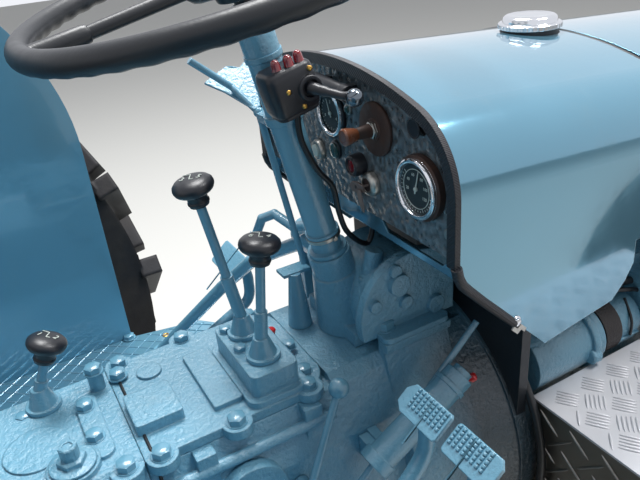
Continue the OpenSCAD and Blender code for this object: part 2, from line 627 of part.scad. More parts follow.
module column_switch() {
    case_y = -column_r - 39;
    color(black) from_axle() {
        translate(column_point(jacket_len - 31)) rotate([0, -column_lean, 0]) {
            along_z(-23, 45) translate([-27, case_y]) rounded_square([54, 39 - seat_gap], 9);
            along_z(-27, 5) translate([-22, case_y + 4]) rounded_square([44, 34 - seat_gap], 8);
            for (lamp = [[-9, 13], [4, 11], [16, 12]]) translate([lamp[0], case_y + lamp[1], 20]) {
                cylinder(r = 5.4, h = 8);
                translate([0, 0, 7.5]) sphere(5.4);
            }
            translate([2, case_y - 3, -18]) cube([24, 6, 26]);
            rod([14, case_y, -4], [34, case_y - 46, -14], 4);
            translate([34, case_y - 46, -14]) sphere(9);
            rod([14, case_y, -4], [22, case_y - 18, -8], 6);
        }
        bent_rod([[684, -column_r - 6, case_top + 306], [685, -column_r - 6, case_top + 268],
            [700, -column_r - 7, case_top + 230], [719, -column_r - 5, case_top + 203],
            [726, -column_r - 3, case_top + 168], [738, -column_r, case_top + 136],
            [766, -column_r + 2, case_top + 112], [777, -column_r, case_top + 150], [777, -30, case_top + 210]], 3.2);
    }
}

// Cowl over the tank: a shell with a crowned top and round shoulders
module arch(w, top, shoulder, crown, bottom) {
    crown_z = top - crown;
    corner_z = crown_z + sqrt(pow(crown - shoulder, 2) - pow(w - shoulder, 2));
    reach = crown / (crown - shoulder) * 1.1;
    translate([-w, bottom]) square([2 * w, corner_z - bottom]);
    intersection() {
        for (y = [-1, 1]) translate([y * (w - shoulder), corner_z]) circle(shoulder);
        translate([-w, bottom]) square([2 * w, top - bottom]);
    }
    intersection() {
        translate([0, crown_z]) circle(crown, $fn = 96);
        polygon([[0, crown_z], [(w - shoulder) * reach, crown_z + (corner_z - crown_z) * reach],
            [-(w - shoulder) * reach, crown_z + (corner_z - crown_z) * reach]]);
        translate([-w, bottom]) square([2 * w, top - bottom]);
    }
}

module arch_shell(from_x, len, t) {
    translate([dash_x, 0, cowl_top]) rotate([0, bonnet_slope, 0]) translate([-dash_x, 0, -cowl_top])
        along_x(from_x, len) difference() {
            arch(cowl_half_w, cowl_top, shoulder_r, crown_r, cowl_top - 420);
            translate([0, -t]) arch(cowl_half_w - t, cowl_top, shoulder_r - t, crown_r - t, cowl_top - 430);
        }
}

// The cowl's side plate ends in a point behind and in a round corner in front
cowl_corner = [873, axle_z + 200];
cap_x = 1036;
neck_r = 36;
neck_top = cowl_top - (cap_x - dash_x) * tan(bonnet_slope) + 4;
module cowl() {
    rail_z = cowl_top - dash_h - seat_gap;
    rail_h = 28;
    color(blue) from_axle() {
        difference() {
            intersection() {
                arch_shell(dash_x - 40, cowl_len + 80, sheet_t);
                along_y(-cowl_half_w - 5, 2 * cowl_half_w + 10)
                    polygon([[dash_x, cowl_top + 20], [dash_x, cowl_top - dash_h], [dash_x + 10, cowl_top - dash_h - 22],
                        [dash_x + 32, cowl_top - dash_h - 49], cowl_corner, [seam_x - 89, axle_z + 215],
                        [seam_x - 70, axle_z + 236], [seam_x - 59, axle_z + 256], [seam_x - 61, axle_z + 286],
                        [seam_x, axle_z + 290], [seam_x, cowl_top + 20]]);
            }
            translate([cap_x, 0, cowl_top - 60]) cylinder(r = neck_r + 1, h = 80);
        }
        difference() {
            translate([dash_x + 13, -cowl_half_w + 1, rail_z - rail_h])
                cube([3, 2 * cowl_half_w - 2, rail_h]);
            along_x(dash_x, 30)
                polygon([[-60, rail_z - 6], [-184, rail_z - 6], [-170, rail_z - 20], [-74, rail_z - 20]]);
        }
    }
}

// Fuel tank under the cowl, on the wall that stands on the clutch housing
tank_x = dash_x + 70;
tank_bottom = case_top + 130;
tank_gap = 14;
wall_y = 182; // half width of the wall between the driver's place and the engine
module fuel_tank() {
    color(blue) from_axle() {
        along_x(tank_x, seam_x - 20 - tank_x)
            arch(cowl_half_w - tank_gap, cowl_top - tank_gap - 14, shoulder_r - tank_gap, crown_r, tank_bottom);
        translate([cap_x, 0, cowl_top - 60]) cylinder(r = neck_r, h = neck_top - cowl_top + 60);
        difference() {
            translate([bell_x - bell_rim + 4, -wall_y, crank_z + 60]) cube([14, 2 * wall_y, tank_bottom - crank_z - 59]);
            translate([bell_x - bell_rim, 0, crank_z]) rotate([0, 90, 0]) cylinder(r = bell_r + seat_gap, h = 40);
        }
    }
}

module fuel_cap() {
    color(steel) from_axle() translate([cap_x, 0, neck_top + seat_gap]) {
        cylinder(r = 39, h = 7);
        cylinder(r = 34, h = 12);
        translate([0, 0, 12]) cylinder(r1 = 34, r2 = 28, h = 5);
    }
}

dash_h = 168;
module dash_panel() {
    edge = sheet_t + 0.6;
    color([0.2, 0.21, 0.22]) from_axle() difference() {
        along_x(dash_x + 4, 3)
            arch(cowl_half_w - edge, cowl_top - edge, shoulder_r - edge, crown_r - edge, cowl_top - dash_h);
        translate([dash_x, -150, cowl_top - 45]) rotate([0, 90, 0]) cylinder(r = 8, h = 20);
    }
}

module dash_trim() {
    color(black) from_axle() along_x(dash_x - 7, 7 - seat_gap) difference() {
        arch(cowl_half_w + 3, cowl_top + 3, shoulder_r + 3, crown_r + 3, cowl_top - dash_h);
        arch(cowl_half_w - 9, cowl_top - 9, shoulder_r - 9, crown_r - 9, cowl_top - dash_h - 10);
    }
}

// Instruments: Y, height under the cowl top, radius, depth
gauge_table = [[16, -66, 27, 7], [-152, -104, 31, 13], [-74, -64, 29, 4], [53, -120, 13, 9],
    [13, -110, 11.5, 7], [-40, -112, 13, 15], [-62, -129, 14, 9]];
module instruments() {
    face = dash_x + 4 - seat_gap;
    color(steel) from_axle() {
        for (g = gauge_table) difference() {
            translate([face - g[3], g[0], cowl_top + g[1]]) rotate([0, 90, 0]) cylinder(r = g[2], h = g[3]);
            if (g[2] > 20 && g[3] > 5)
                translate([face - g[3] - 1, g[0], cowl_top + g[1]]) rotate([0, 90, 0]) cylinder(r = g[2] - 4, h = 4);
        }
        translate([face - 34, gauge_table[2][0], cowl_top + gauge_table[2][1]]) rotate([0, 90, 0]) cylinder(r = 5.5, h = 34);
        translate([face - 42, gauge_table[2][0], cowl_top + gauge_table[2][1]]) rotate([0, 90, 0])
            cylinder(r1 = 9.5, r2 = 6, h = 16);
        rod([face - 16, 24, cowl_top - 25], [face - 16, -46, cowl_top - 29], 8);
        translate([face - 16, -40, cowl_top - 36]) cube([16, 12, 14]);
    }
}

// Throttle lever and the hand lever tube on the left of the column
module hand_levers() {
    tube_top = case_top + 97;
    color(blue) from_axle() {
        bent_rod([[560, 362, foot_z + 7], [654, 250, tube_top - 139], [683, 180, tube_top - 71],
            [702, 130, tube_top - 39], [722, 64, tube_top], [722, 27.4, tube_top]], 10);
        translate([560, 362, foot_z + seat_gap]) cylinder(r = 16, h = 8);
        bent_rod([[694, 150, tube_top - 51], [684, 146, tube_top - 13], [690, 130, tube_top + 17],
            [704, 118, tube_top + 24], [712, 80, tube_top + 17], [716, 50, tube_top + 28],
            [716, column_r + 0.7, tube_top + 30]], 6.5);
        rod([664, throttle_y, case_top + 290], [699, throttle_y, case_top + 86], 4);
        translate([664, throttle_y, case_top + 290]) sphere(6);
        bent_rod([[664, throttle_y, case_top + 290], [648, 60, case_top + 316], [606, 64, case_top + 352]], 4);
        translate([668, throttle_y - 2, case_top + 74]) cube([38, 22, 4]);
        translate([684, throttle_y, case_top + seat_gap]) cylinder(r1 = 16, r2 = 8, h = 76);
        rod([656, -case_half_w - 22, case_top + 4], [592, -case_half_w - 48, case_top - 100], 4.5);
        translate([656, -case_half_w - 22, case_top + 4]) sphere(12);
        on_lateral(592, -case_side(case_top - 112) - 32, case_top - 100) cylinder(r = 11, h = 32 - seat_gap);
    }
}

// Pedals: Y of the arm, pad half width
pedal_x = 570;
pedal_z = 645;
shaft_r = 16;
brake_pedals = [[-226, 33], [-300, 33]];
brake_pad = [684, 820]; // X and height of the pads' lower edge
clutch_pad = [695, 755];
module pedal(y, pad_y, pad_x, pad_z, half_w) {
    translate([pad_x - 19, pad_y - half_w, pad_z]) rotate([0, -40, 0]) cube([44, 2 * half_w, 8]);
    rod([pad_x, y, pad_z + 16], [pad_x + 4, y, pad_z - 40], 9);
    translate([pad_x + 4, y, pad_z - 40]) sphere(9.4);
    difference() {
        union() {
            rod([pad_x + 4, y, pad_z - 40], [pedal_x, y, pedal_z], 9);
            on_lateral(pedal_x, y - 14, pedal_z) cylinder(r = 25, h = 28);
        }
        on_lateral(pedal_x, y - 20, pedal_z) cylinder(r = shaft_r + seat_gap, h = 40);
    }
}

module pedals() {
    color(blue) from_axle() {
        for (p = brake_pedals) pedal(p[0], p[0], brake_pad[0], brake_pad[1], p[1]);
        pedal(262, 295, clutch_pad[0], clutch_pad[1], 47);
    }
}

module pedal_shaft() {
    shaft_in = case_side(pedal_z - 30) + seat_gap;
    top = [795, -156, case_top - 15];
    low = [669, -156, case_top - 87];
    color(blue) from_axle() {
        on_lateral(pedal_x, shaft_in, pedal_z) cylinder(r = shaft_r, h = 282 - shaft_in);
        on_lateral(pedal_x, -324, pedal_z) cylinder(r = shaft_r, h = 324 - shaft_in);
        for (s = [-1, 1]) on_lateral(pedal_x, s * (shaft_in + 8) - 8, pedal_z) cylinder(r = 30, h = 16);
        rod(low, top, 18);
        rod(low, low + (top - low) * 0.1, 21);
        rod(low + (top - low) * 0.86, low + (top - low) * 0.9, 20);
        rod(top - (top - low) * 0.01, top + (top - low) * 0.05, 12);
        for (p = [[680, 712], [692, 716]]) along_x(p[0] - 6, 12) polygon([[-142, p[1] - 14], [-142, p[1] + 14],
            [-case_side(p[1] + 14) - seat_gap, p[1] + 14], [-case_side(p[1] - 14) - seat_gap, p[1] - 14]]);
        bent_rod([[845, -bell_r * 0.64, case_top + 24], [770, -bell_r * 0.66, case_top - 38],
            [658, -bell_r * 0.7, case_top - 124]], 4);
    }
}

// Footplates on both sides of the gearbox, on bearers from the housing
foot_front = 700;
foot_in = case_half_w + 62;
module footplates() {
    color(blue) from_axle() both_sides() {
        along_z(foot_z - foot_t, foot_t) polygon([[130, foot_in], [130, fender_y + 40], [520, fender_y + 2],
            [650, fender_y - 25], [foot_front - 12, 375], [foot_front, 340], [foot_front, foot_in]]);
        for (x = [190, 500]) translate([x, case_half_w + 50, foot_z - foot_t - 28]) cube([36, 300 - case_half_w, 29]);
    }
}

// Battery box of chequered sheet beside the engine, closed by a cover sheet that lifts off
box_out = box_y + box_w;
module battery_box() {
    color(steel) from_axle() {
        difference() {
            translate([box_x, -box_out, box_top - box_h]) cube([box_len, box_w, box_h - sheet_t - seat_gap]);
            translate([box_x + sheet_t, -box_out + sheet_t, box_top - box_h + sheet_t])
                cube([box_len - 2 * sheet_t, box_w - 2 * sheet_t, box_h]);
        }
        for (x = [70, 280]) translate([box_x + x, -box_y - 1, box_top - 130])
            cube([40, box_y - engine_half_w + 1 - seat_gap, 30]);
    }
}
module battery_lid() {
    color(steel) from_axle() translate([box_x, -box_out, box_top - sheet_t]) cube([box_len, box_w, sheet_t]);
}

// Side view of a fender, an outline with two round corners, shrunk by an inset
front_corner = 350;
rear_corner = 480;
module fender_outline(inset) {
    top = axle_z + fender_h - inset;
    front = fender_front - inset;
    back = fender_back + inset;
    rf = front_corner - inset;
    rb = rear_corner - inset;
    low = foot_z - 100;
    translate([front - rf, top - rf]) circle(rf, $fn = 96);
    translate([back + rb, top - rb]) circle(rb, $fn = 96);
    translate([back + rb, low]) square([front - rf - back - rb, top - low]);
    translate([back, low]) square([front - back, top - max(rf, rb) - low]);
    translate([front - rf, low]) square([rf, top - rf - low]);
}

// The plate stands on the footplate and on a foot over the axle tube
notch_h = 200;
lamp_rear_z = axle_z + 420;
module fenders() {
    color(blue) from_axle() both_sides() {
        along_y(fender_y, sheet_t) difference() {
            fender_outline(0);
            translate([-800, 0]) square([1600, foot_z + seat_gap]);
            translate([-800, 0]) square([930, foot_z + notch_h]);
        }
        along_y(fender_y, fender_w) difference() {
            fender_outline(0);
            fender_outline(sheet_t);
            square([800, axle_z + 390]);
            translate([-800, 0]) square([801, foot_z + notch_h]);
        }
        along_y(fender_y + fender_w - 8, 8) difference() {
            fender_outline(sheet_t - 0.5);
            fender_outline(14);
            square([800, axle_z + 390]);
            translate([-800, 0]) square([801, foot_z + notch_h]);
        }
        translate([-590, fender_y - 64, lamp_rear_z]) rotate([0, 90, 0]) cylinder(r = 34, h = 44);
        translate([-580, fender_y - 40, lamp_rear_z - 22]) cube([24, 41, 44]);
        translate([-30, fender_y - 6, axle_z + axle_tube_r + seat_gap]) cube([60, 6.5, notch_h]);
        translate([-30, fender_y - 60, axle_z + axle_tube_r + seat_gap]) cube([60, 60, 6]);
    }
}

// Sheet steel seat pan on a spring leaf
pan_depth = 64;
seat_holes = [[92, 8, 13], [148, 12, 9]]; // rings of holes in the pan: radius, number, hole radius
module seat() {
    leaf_w = 70;
    rim = seat_w / 2;
    color(black) from_axle() {
        translate([-20, 0, axle_z + seat_h]) difference() {
            rotate_extrude() polygon([[0, 0], [rim * 0.82, 0], [rim - 4, pan_depth - 8], [rim, pan_depth - 6],
                [rim, pan_depth], [rim - 8, pan_depth - 2], [rim * 0.82 - 3, 4], [0, 4]]);
            for (ring = seat_holes) for (i = [0 : ring[1] - 1]) rotate((i + 0.5) * 360 / ring[1])
                translate([ring[0], 0, -10]) cylinder(r = ring[2], h = 40);
        }
        along_y(-leaf_w / 2, leaf_w) polygon([[-140, case_top + seat_gap], [20, case_top + seat_gap],
            [20, case_top + 10], [-110, case_top + 10], [-70, axle_z + seat_h - 12], [60, axle_z + seat_h - 12],
            [60, axle_z + seat_h + 1], [-82, axle_z + seat_h + 1], [-140, case_top + 20]]);
    }
}

// Tow jaw over the power take-off, and the frame that holds the hitch bar
body_back = -150;
plate_t = 10; // rear cover plate of the axle housing
hitch_x = body_back - plate_t - seat_gap; // where the hitch is bolted on
jaw_z = axle_z + 74;
jaw_gap = 60;
jaw_t = 18;
jaw_x = body_back - 110;
bar_x = -530;
bar_z = 400;
bar_t = 26;
module hitch() {
    color(blue) from_axle() {
        difference() {
            union() {
                translate([jaw_x - 40, -48, jaw_z - jaw_gap / 2 - jaw_t])
                    cube([hitch_x - jaw_x + 40, 96, jaw_gap + 2 * jaw_t]);
            }
            translate([jaw_x - 60, -60, jaw_z - jaw_gap / 2]) cube([110, 120, jaw_gap]);
            translate([jaw_x, 0, jaw_z - jaw_gap]) cylinder(r = tow_hole_r, h = 2 * jaw_gap);
        }
        difference() {
            translate([bar_x - 40, -bar_pitch * 3.5, bar_z]) cube([80, bar_pitch * 7, bar_t]);
            for (i = [-3 : 3]) translate([bar_x, i * bar_pitch, bar_z - 10]) cylinder(r = bar_hole_r, h = 60);
        }
        both_sides() {
            translate([bar_x + 30, 92, bar_z + bar_t - 1]) cube([40, 14, axle_z - bar_z - 100]);
            translate([bar_x + 30, 92, axle_z - 150]) cube([hitch_x - bar_x - 30, 14, 76]);
        }
    }
}

// Head lamps on stalks from the front carrier
lamp_y = 300;
lamp_r = 76;
lamp_z = axle_z + 250;
module headlamps() {
    stalk_x = nose_x - 150;
    color(blue) from_axle() both_sides() {
        translate([stalk_x - 30, lamp_y, lamp_z]) rotate([0, 90, 0]) rotate_extrude() polygon([[0, 0], [24, 2],
            [lamp_r * 0.7, 22], [lamp_r * 0.92, 50], [lamp_r, 74], [lamp_r + 3, 76], [lamp_r + 3, 88],
            [lamp_r - 6, 92], [lamp_r - 8, 88], [lamp_r * 0.5, 93], [0, 95]]);
        bent_rod([[stalk_x, lamp_y, lamp_z - 20], [stalk_x, lamp_y, carrier_z + 30],
            [stalk_x, engine_half_w + seat_gap, carrier_z + 30]], 9);
        translate([stalk_x, lamp_y, lamp_z - lamp_r - 14]) cylinder(r1 = 11, r2 = 22, h = 30);
    }
}

// Silencer low on the left of the engine
module exhaust() {
    y = engine_half_w + 64;
    z = crank_z - 100;
    color(black) from_axle() {
        translate([engine_end - 110, engine_half_w + seat_gap, outlet_top - 40]) cube([50, 40, 40]);
        bent_rod([[engine_end - 85, engine_half_w + 30, outlet_top - 30], [engine_end - 85, y, outlet_top - 70],
            [engine_end - 85, y, z], [engine_end - 140, y, z]], 19);
        rod([engine_end - 150, y, z], [engine_end - 450, y, z], 42);
        translate([engine_end - 151, y, z]) rotate([0, 90, 0]) cylinder(r1 = 42, r2 = 22, h = 24);
        translate([engine_end - 449, y, z]) rotate([0, -90, 0]) cylinder(r1 = 42, r2 = 20, h = 24);
        for (x = [220, 380]) rod([engine_end - x, y, z], [engine_end - x - 12, y, z], 44);
        bent_rod([[engine_end - 455, y, z], [engine_end - 500, y, z], [engine_end - 540, y + 50, z]], 17);
    }
}

rad_x = engine_end + 150;
rad_t = 80;
rad_half_w = 170;
rad_top = axle_z + 400;
module radiator() {
    hose_z = rad_top - 58;
    color(black) from_axle() {
        translate([rad_x + 8, -rad_half_w + 14, carrier_top + seat_gap])
            cube([rad_t - 16, 2 * rad_half_w - 28, rad_top - carrier_top - 30]);
        translate([rad_x, -rad_half_w, carrier_top + seat_gap]) cube([rad_t, 2 * rad_half_w, 44]);
        translate([rad_x, -rad_half_w, rad_top - 84]) cube([rad_t, 2 * rad_half_w, 70]);
        translate([rad_x, -rad_half_w + 24, rad_top - 15]) cube([rad_t, 2 * rad_half_w - 48, 15]);
        for (s = [-1, 1]) translate([rad_x + 4, s * (rad_half_w - 8) - 8, carrier_top + 30])
            cube([rad_t - 8, 16, rad_top - carrier_top - 100]);
        for (i = [0 : 21]) translate([rad_x + 3, -rad_half_w + 10, carrier_top + 52 + i * 14])
            cube([rad_t - 6, 2 * rad_half_w - 20, 4]);
        bent_rod([[rad_x + 4, 60, hose_z], [rad_x - 40, 60, hose_z], [engine_end + 10, 60, block_top + 62],
            [engine_end - 50 + seat_gap, 60, block_top + 62]], 18);
        bent_rod([[rad_x + 4, -84, carrier_top + 40], [rad_x - 98, -84, carrier_top + 40],
            [engine_end + 44, -84, crank_z + 122], [engine_end + seat_gap, -84, crank_z + 122]], 15);
    }
}

// Bonnet with the nose around the grille; it tips forward about the hinge over the carrier's front
bonnet_x = seam_x + seam_gap;
nose_bottom = carrier_top + 8;
bonnet_low = axle_z + 300;
grille_half_w = 130;
grille_low = nose_bottom + 40;
grille_top = axle_z + 382;
module bonnet() {
    color(blue) from_axle() {
        intersection() {
            arch_shell(bonnet_x - 40, nose_x - bonnet_x + 120, sheet_t);
            along_y(-300, 600) polygon([[bonnet_x, cowl_top + 20], [bonnet_x, bonnet_low], [rad_x - 60, bonnet_low],
                [rad_x + 20, nose_bottom], [nose_x, nose_bottom], [nose_x, cowl_top + 20]]);
        }
        difference() {
            intersection() {
                along_x(nose_x - sheet_t, sheet_t) arch(cowl_half_w - 1, cowl_top, shoulder_r, crown_r, nose_bottom);
                translate([dash_x, 0, cowl_top]) rotate([0, bonnet_slope, 0]) translate([-dash_x, 0, -cowl_top])
                    along_x(nose_x - 100, 200) arch(cowl_half_w - 1, cowl_top - 1, shoulder_r, crown_r, 0);
            }
            along_x(nose_x - 20, 40) translate([-grille_half_w, grille_low])
                rounded_square([2 * grille_half_w, grille_top - grille_low], 40);
        }
        both_sides() difference() {
            union() {
                on_lateral(hinge_x, hinge_y + seat_gap, hinge_z) cylinder(r = 10, h = 18);
                translate([hinge_x, hinge_y + seat_gap, hinge_z - 4]) cube([nose_x - hinge_x - 1, 18, 8]);
            }
            on_lateral(hinge_x, hinge_y - 10, hinge_z) cylinder(r = pin_r + fit, h = 60);
        }
    }
}

module grille() {
    face = nose_x - sheet_t - 8 - seat_gap;
    slats = 8;
    color(blue) from_axle() {
        along_x(face, 8) difference() {
            translate([-grille_half_w - 12, grille_low - 12])
                square([2 * grille_half_w + 24, grille_top - grille_low + 24]);
            translate([-grille_half_w + 6, grille_low + 6])
                square([2 * grille_half_w - 12, grille_top - grille_low - 12]);
        }
        for (i = [-slats : slats]) translate([face, i * (grille_half_w - 4) / (slats + 1) - 2.5, grille_low])
            cube([7, 5, grille_top - grille_low]);
        for (z = [0.33, 0.67]) translate([face - 2, -grille_half_w, grille_low + (grille_top - grille_low) * z])
            cube([4, 2 * grille_half_w, 6]);
    }
}

rear_axle_case();
gearbox_case();
gear_levers();
lever_knobs();
gearbox_cover();
engine_block();
front_bolster();
front_axle();
radiator();
cowl();
fuel_tank();
fuel_cap();
dash_panel();
dash_trim();
instruments();
steering_box();
steering_column();
column_switch();
hand_levers();
pedals();
pedal_shaft();
footplates();
battery_box();
battery_lid();
fenders();
seat();
hitch();
headlamps();
exhaust();
bonnet();
grille();
knuckle_left();
knuckle_right();
tie_rod();
drop_arm();
drag_link();
steering_wheel();
tyre_rear_left();
tyre_rear_right();
tyre_front_left();
tyre_front_right();
rim_rear_left();
rim_rear_right();
rim_front_left();
rim_front_right();
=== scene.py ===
# Looks of a light vintage tractor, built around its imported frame
import math

import bmesh
import bpy
from mathutils import Matrix, Vector


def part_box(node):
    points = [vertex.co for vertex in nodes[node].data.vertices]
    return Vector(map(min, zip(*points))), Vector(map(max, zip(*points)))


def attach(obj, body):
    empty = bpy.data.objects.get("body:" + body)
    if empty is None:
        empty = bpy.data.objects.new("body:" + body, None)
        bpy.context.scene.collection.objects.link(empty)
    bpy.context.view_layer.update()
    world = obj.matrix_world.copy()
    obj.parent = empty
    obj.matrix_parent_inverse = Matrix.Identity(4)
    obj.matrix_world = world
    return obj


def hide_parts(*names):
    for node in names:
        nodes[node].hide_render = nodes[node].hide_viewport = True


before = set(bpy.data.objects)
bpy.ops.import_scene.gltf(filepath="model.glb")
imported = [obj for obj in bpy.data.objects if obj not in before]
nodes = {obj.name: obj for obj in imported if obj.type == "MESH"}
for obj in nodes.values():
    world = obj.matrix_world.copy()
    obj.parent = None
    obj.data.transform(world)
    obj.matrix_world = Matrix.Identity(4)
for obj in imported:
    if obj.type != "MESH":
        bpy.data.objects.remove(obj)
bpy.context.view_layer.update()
scene = bpy.context.scene


def added(name, data):  # a new object, linked to the scene
    made = bpy.data.objects.new(name, data)
    scene.collection.objects.link(made)
    return made


def shift(x, y, z):
    return Matrix.Translation((x, y, z))


def spin(degrees, axis="Z"):
    return Matrix.Rotation(math.radians(degrees), 4, axis)


def polar(radius, degrees):  # a point on a circle
    return radius * math.cos(math.radians(degrees)), radius * math.sin(math.radians(degrees))


# everything is drawn in millimetres from the rear axle: X forward, Y to the left, Z above the ground
tyreLow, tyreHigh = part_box("tyre_rear_left")
onTractor = shift((tyreLow[0] + tyreHigh[0]) / 2, 0, 0) @ Matrix.Scale(0.001, 4)
print("frame loaded, rear axle at", round(onTractor.translation.x, 3))

# camera at the photographer's place, over the right side of the driver's seat
view = {"place": (390, -620, 1290), "heading": 62.795, "down": 27.432, "roll": -5.466, "lens": 36.56}
cameraData = bpy.data.cameras.new("camera")
cameraData.lens = view["lens"]
cameraData.sensor_width = 36.0
cameraData.clip_start = 0.32  # it stands close over the right fender, which the photograph looks past
scene.camera = added("camera", cameraData)
scene.camera.matrix_world = (Matrix.Translation(onTractor @ Vector(view["place"]))
                             @ spin(view["heading"] - 90) @ spin(90 - view["down"], "X") @ spin(view["roll"]))
scene.view_settings.view_transform = "Standard"


# shader maths: a socket that takes arithmetic
class Field:
    def __init__(self, finish, socket):
        self.finish, self.socket = finish, socket

    def op(self, how, first, second):
        return self.finish.node("ShaderNodeMath", {"operation": how}, [first, second])

    def __add__(self, other): return self.op("ADD", self, other)
    def __radd__(self, other): return self.op("ADD", other, self)
    def __sub__(self, other): return self.op("SUBTRACT", self, other)
    def __rsub__(self, other): return self.op("SUBTRACT", other, self)
    def __mul__(self, other): return self.op("MULTIPLY", self, other)
    def __rmul__(self, other): return self.op("MULTIPLY", other, self)


class Finish:  # a material and its node tree
    def __init__(self, name):
        self.material = bpy.data.materials.new(name)
        self.material.use_nodes = True
        self.tree = self.material.node_tree
        self.shader = self.tree.nodes["Principled BSDF"]

    def node(self, kind, settings=None, inputs=None, out=0):
        made = self.tree.nodes.new(kind)
        for key, value in (settings or {}).items():
            if key == "stops":
                for element, (place, shade) in zip(made.color_ramp.elements, value):
                    element.position, element.color = place, (shade, shade, shade, 1)
            else:
                setattr(made, key, value)
        for key, value in inputs.items() if isinstance(inputs, dict) else enumerate(inputs or []):
            self.feed(made.inputs[key], value)
        return Field(self, made.outputs[out])

    def feed(self, socket, value):
        if isinstance(value, Field):
            self.tree.links.new(value.socket, socket)
        elif socket.type == "RGBA" and len(value) == 3:
            socket.default_value = (*value, 1)
        else:
            socket.default_value = value

    def set(self, **values):  # shader sockets by name, underscores for blanks
        for key, value in values.items():
            self.feed(self.shader.inputs[key.replace("_", " ")], value)

    def place(self):
        return self.node("ShaderNodeTexCoord", out="Object")

    def noise(self, scale, detail=3.0, rough=0.5):
        return self.node("ShaderNodeTexNoise", inputs={
            "Vector": self.place(), "Scale": scale, "Detail": detail, "Roughness": rough})

    def cells(self, scale, feature="F1"):
        return self.node("ShaderNodeTexVoronoi", {"feature": feature}, {
            "Vector": self.place(), "Scale": scale})

    def ramp(self, value, start, end):  # each stop is (position, grey)
        return self.node("ShaderNodeValToRGB", {"stops": (start, end)}, [value])

    def mix(self, share, first, second):
        return self.node("ShaderNodeMix", {"data_type": "RGBA"}, {0: share, 6: first, 7: second}, out=2)

    def bump(self, height, depth, strength=1.0, under=None):
        inputs = {"Height": height, "Distance": depth, "Strength": strength}
        if under:
            inputs["Normal"] = under
        return self.node("ShaderNodeBump", inputs=inputs)

    def softEdge(self, radius):  # edges and inner corners read as rounded
        return self.node("ShaderNodeBevel", {"samples": 6}, {"Radius": radius})


def tone(red, green, blue):  # a colour as a painter reads it, 0 to 255
    return tuple(((v / 255 + 0.055) / 1.055) ** 2.4 if v > 10 else v / 3295 for v in (red, green, blue))


def shades(colour, darker, lighter):
    return tuple(c * darker for c in colour), tuple(min(1, c * lighter) for c in colour)


# finishes of the tractor
enamel = {"colour": tone(106, 160, 184), "dirt": tone(150, 146, 128), "coat": 0.9}
# painted shade on the clutch bell under the cowl: its dark colour, how much it covers, its reach ahead and
# its height
paintedBellShade = {"colour": tone(22, 34, 42), "cover": 0.92, "aheadOf": (0.01, 0.07), "below": (0.79, 0.85)}


def paintFinish(name, cast=0.0, edge=0.0015, paintBellShade=False, mirror=0.34):  # thick enamel on sheet or castings
    f = Finish(name)
    cloud = f.noise(4.0, 4.0)
    dust = f.ramp(f.noise(13.0, 8.0, 0.68), (0.56, 0.0), (0.78, 1.0))
    colour = f.mix(dust * (0.10 + 0.16 * cast), f.mix(cloud, *shades(enamel["colour"], 0.88, 1.10)),
                   enamel["dirt"])
    if paintBellShade:  # painted shade: a dark film on the clutch bell under the cowl stands in for the cowl's shadow
        ahead = f.node("ShaderNodeSeparateXYZ", inputs=[f.place()], out="X")
        height = f.node("ShaderNodeSeparateXYZ", inputs=[f.place()], out="Z") + 0.05 * f.noise(8.0, 4.0)
        (start, full), (whole, top) = paintedBellShade["aheadOf"], paintedBellShade["below"]
        paintedShade = f.ramp(ahead, (start, 0.0), (full, 1.0)) * f.ramp(height, (whole, 1.0), (top, 0.0))
        colour = f.mix(paintedShade * paintedBellShade["cover"], colour, paintedBellShade["colour"])
    f.set(Base_Color=colour)
    f.set(Roughness=0.24 - 0.30 * mirror + 0.16 * cast + 0.08 * f.noise(30.0) + dust * 0.12)
    f.set(Metallic=0.0 if cast else mirror, Coat_Weight=0.15 if cast else enamel["coat"], Coat_Roughness=0.03)
    f.set(Specular_IOR_Level=0.85 if cast else 0.6)
    skin = f.bump(f.noise(7.0, 1.0), 0.0025, 0.18 + 0.30 * cast, f.softEdge(edge))
    if cast:
        skin = f.bump(f.noise(40.0, 2.0, 0.4), 0.0012, cast * 0.6, skin)
        pits = f.ramp(f.noise(170.0, 4.0, 0.6), (0.28, 0.0), (0.60, 1.0))
        skin = f.bump(pits, 0.0010, cast, skin)
    else:
        skin = f.bump(f.noise(60.0, 2.0), 0.0003, 0.3, skin)
    f.set(Normal=skin)
    return f.material


def plainFinish(name, colour, roughness, metallic=0.0, coat=0.0, grain=160.0, depth=0.0004, edge=0.0008):
    f = Finish(name)
    f.set(Base_Color=f.mix(f.noise(14.0, 5.0), *shades(colour, 0.78, 1.18)))
    f.set(Roughness=roughness + 0.18 * (f.noise(38.0, 5.0) - 0.5))
    f.set(Metallic=metallic, Coat_Weight=coat)
    f.set(Normal=f.bump(f.noise(grain), depth, 0.5, f.softEdge(edge)))
    return f.material


def rustFinish(name, ground, rust, share, roughness=0.7):  # iron with rust blooming through
    f = Finish(name)
    bloom = f.ramp(f.noise(26.0, 8.0, 0.66), (0.5 - share * 0.3, 0.0), (0.74 - share * 0.2, 1.0))
    f.set(Base_Color=f.mix(bloom, ground, f.mix(f.noise(90.0, 4.0), *shades(rust, 0.6, 1.3))))
    f.set(Roughness=roughness + 0.2 * bloom, Metallic=0.2)
    f.set(Normal=f.bump(f.noise(140.0, 6.0), 0.0008, 0.6, f.softEdge(0.001)))
    return f.material


def hammerFinish(name, hollow, crest):  # hammered lacquer of the dashboard; dents painted darker as painted shade, ridges lighter as painted highlight
    f = Finish(name)
    dents = f.cells(135.0, "SMOOTH_F1")
    veins = f.ramp(f.noise(110.0, 2.0, 0.4), (0.35, 0.0), (0.65, 1.0))
    # painted shade in the dents and painted highlight on the ridges between them, over the bumped lacquer
    f.set(Base_Color=f.mix(f.ramp(dents, (0.10, 0.0), (0.60, 1.0)), hollow, crest))
    f.set(Roughness=0.20 + 0.14 * f.noise(18.0), Metallic=0.35, Coat_Weight=0.1, Specular_IOR_Level=0.8)
    f.set(Normal=f.bump(veins, 0.0012, 0.6, f.bump(dents, 0.0030, 1.0)))
    return f.material


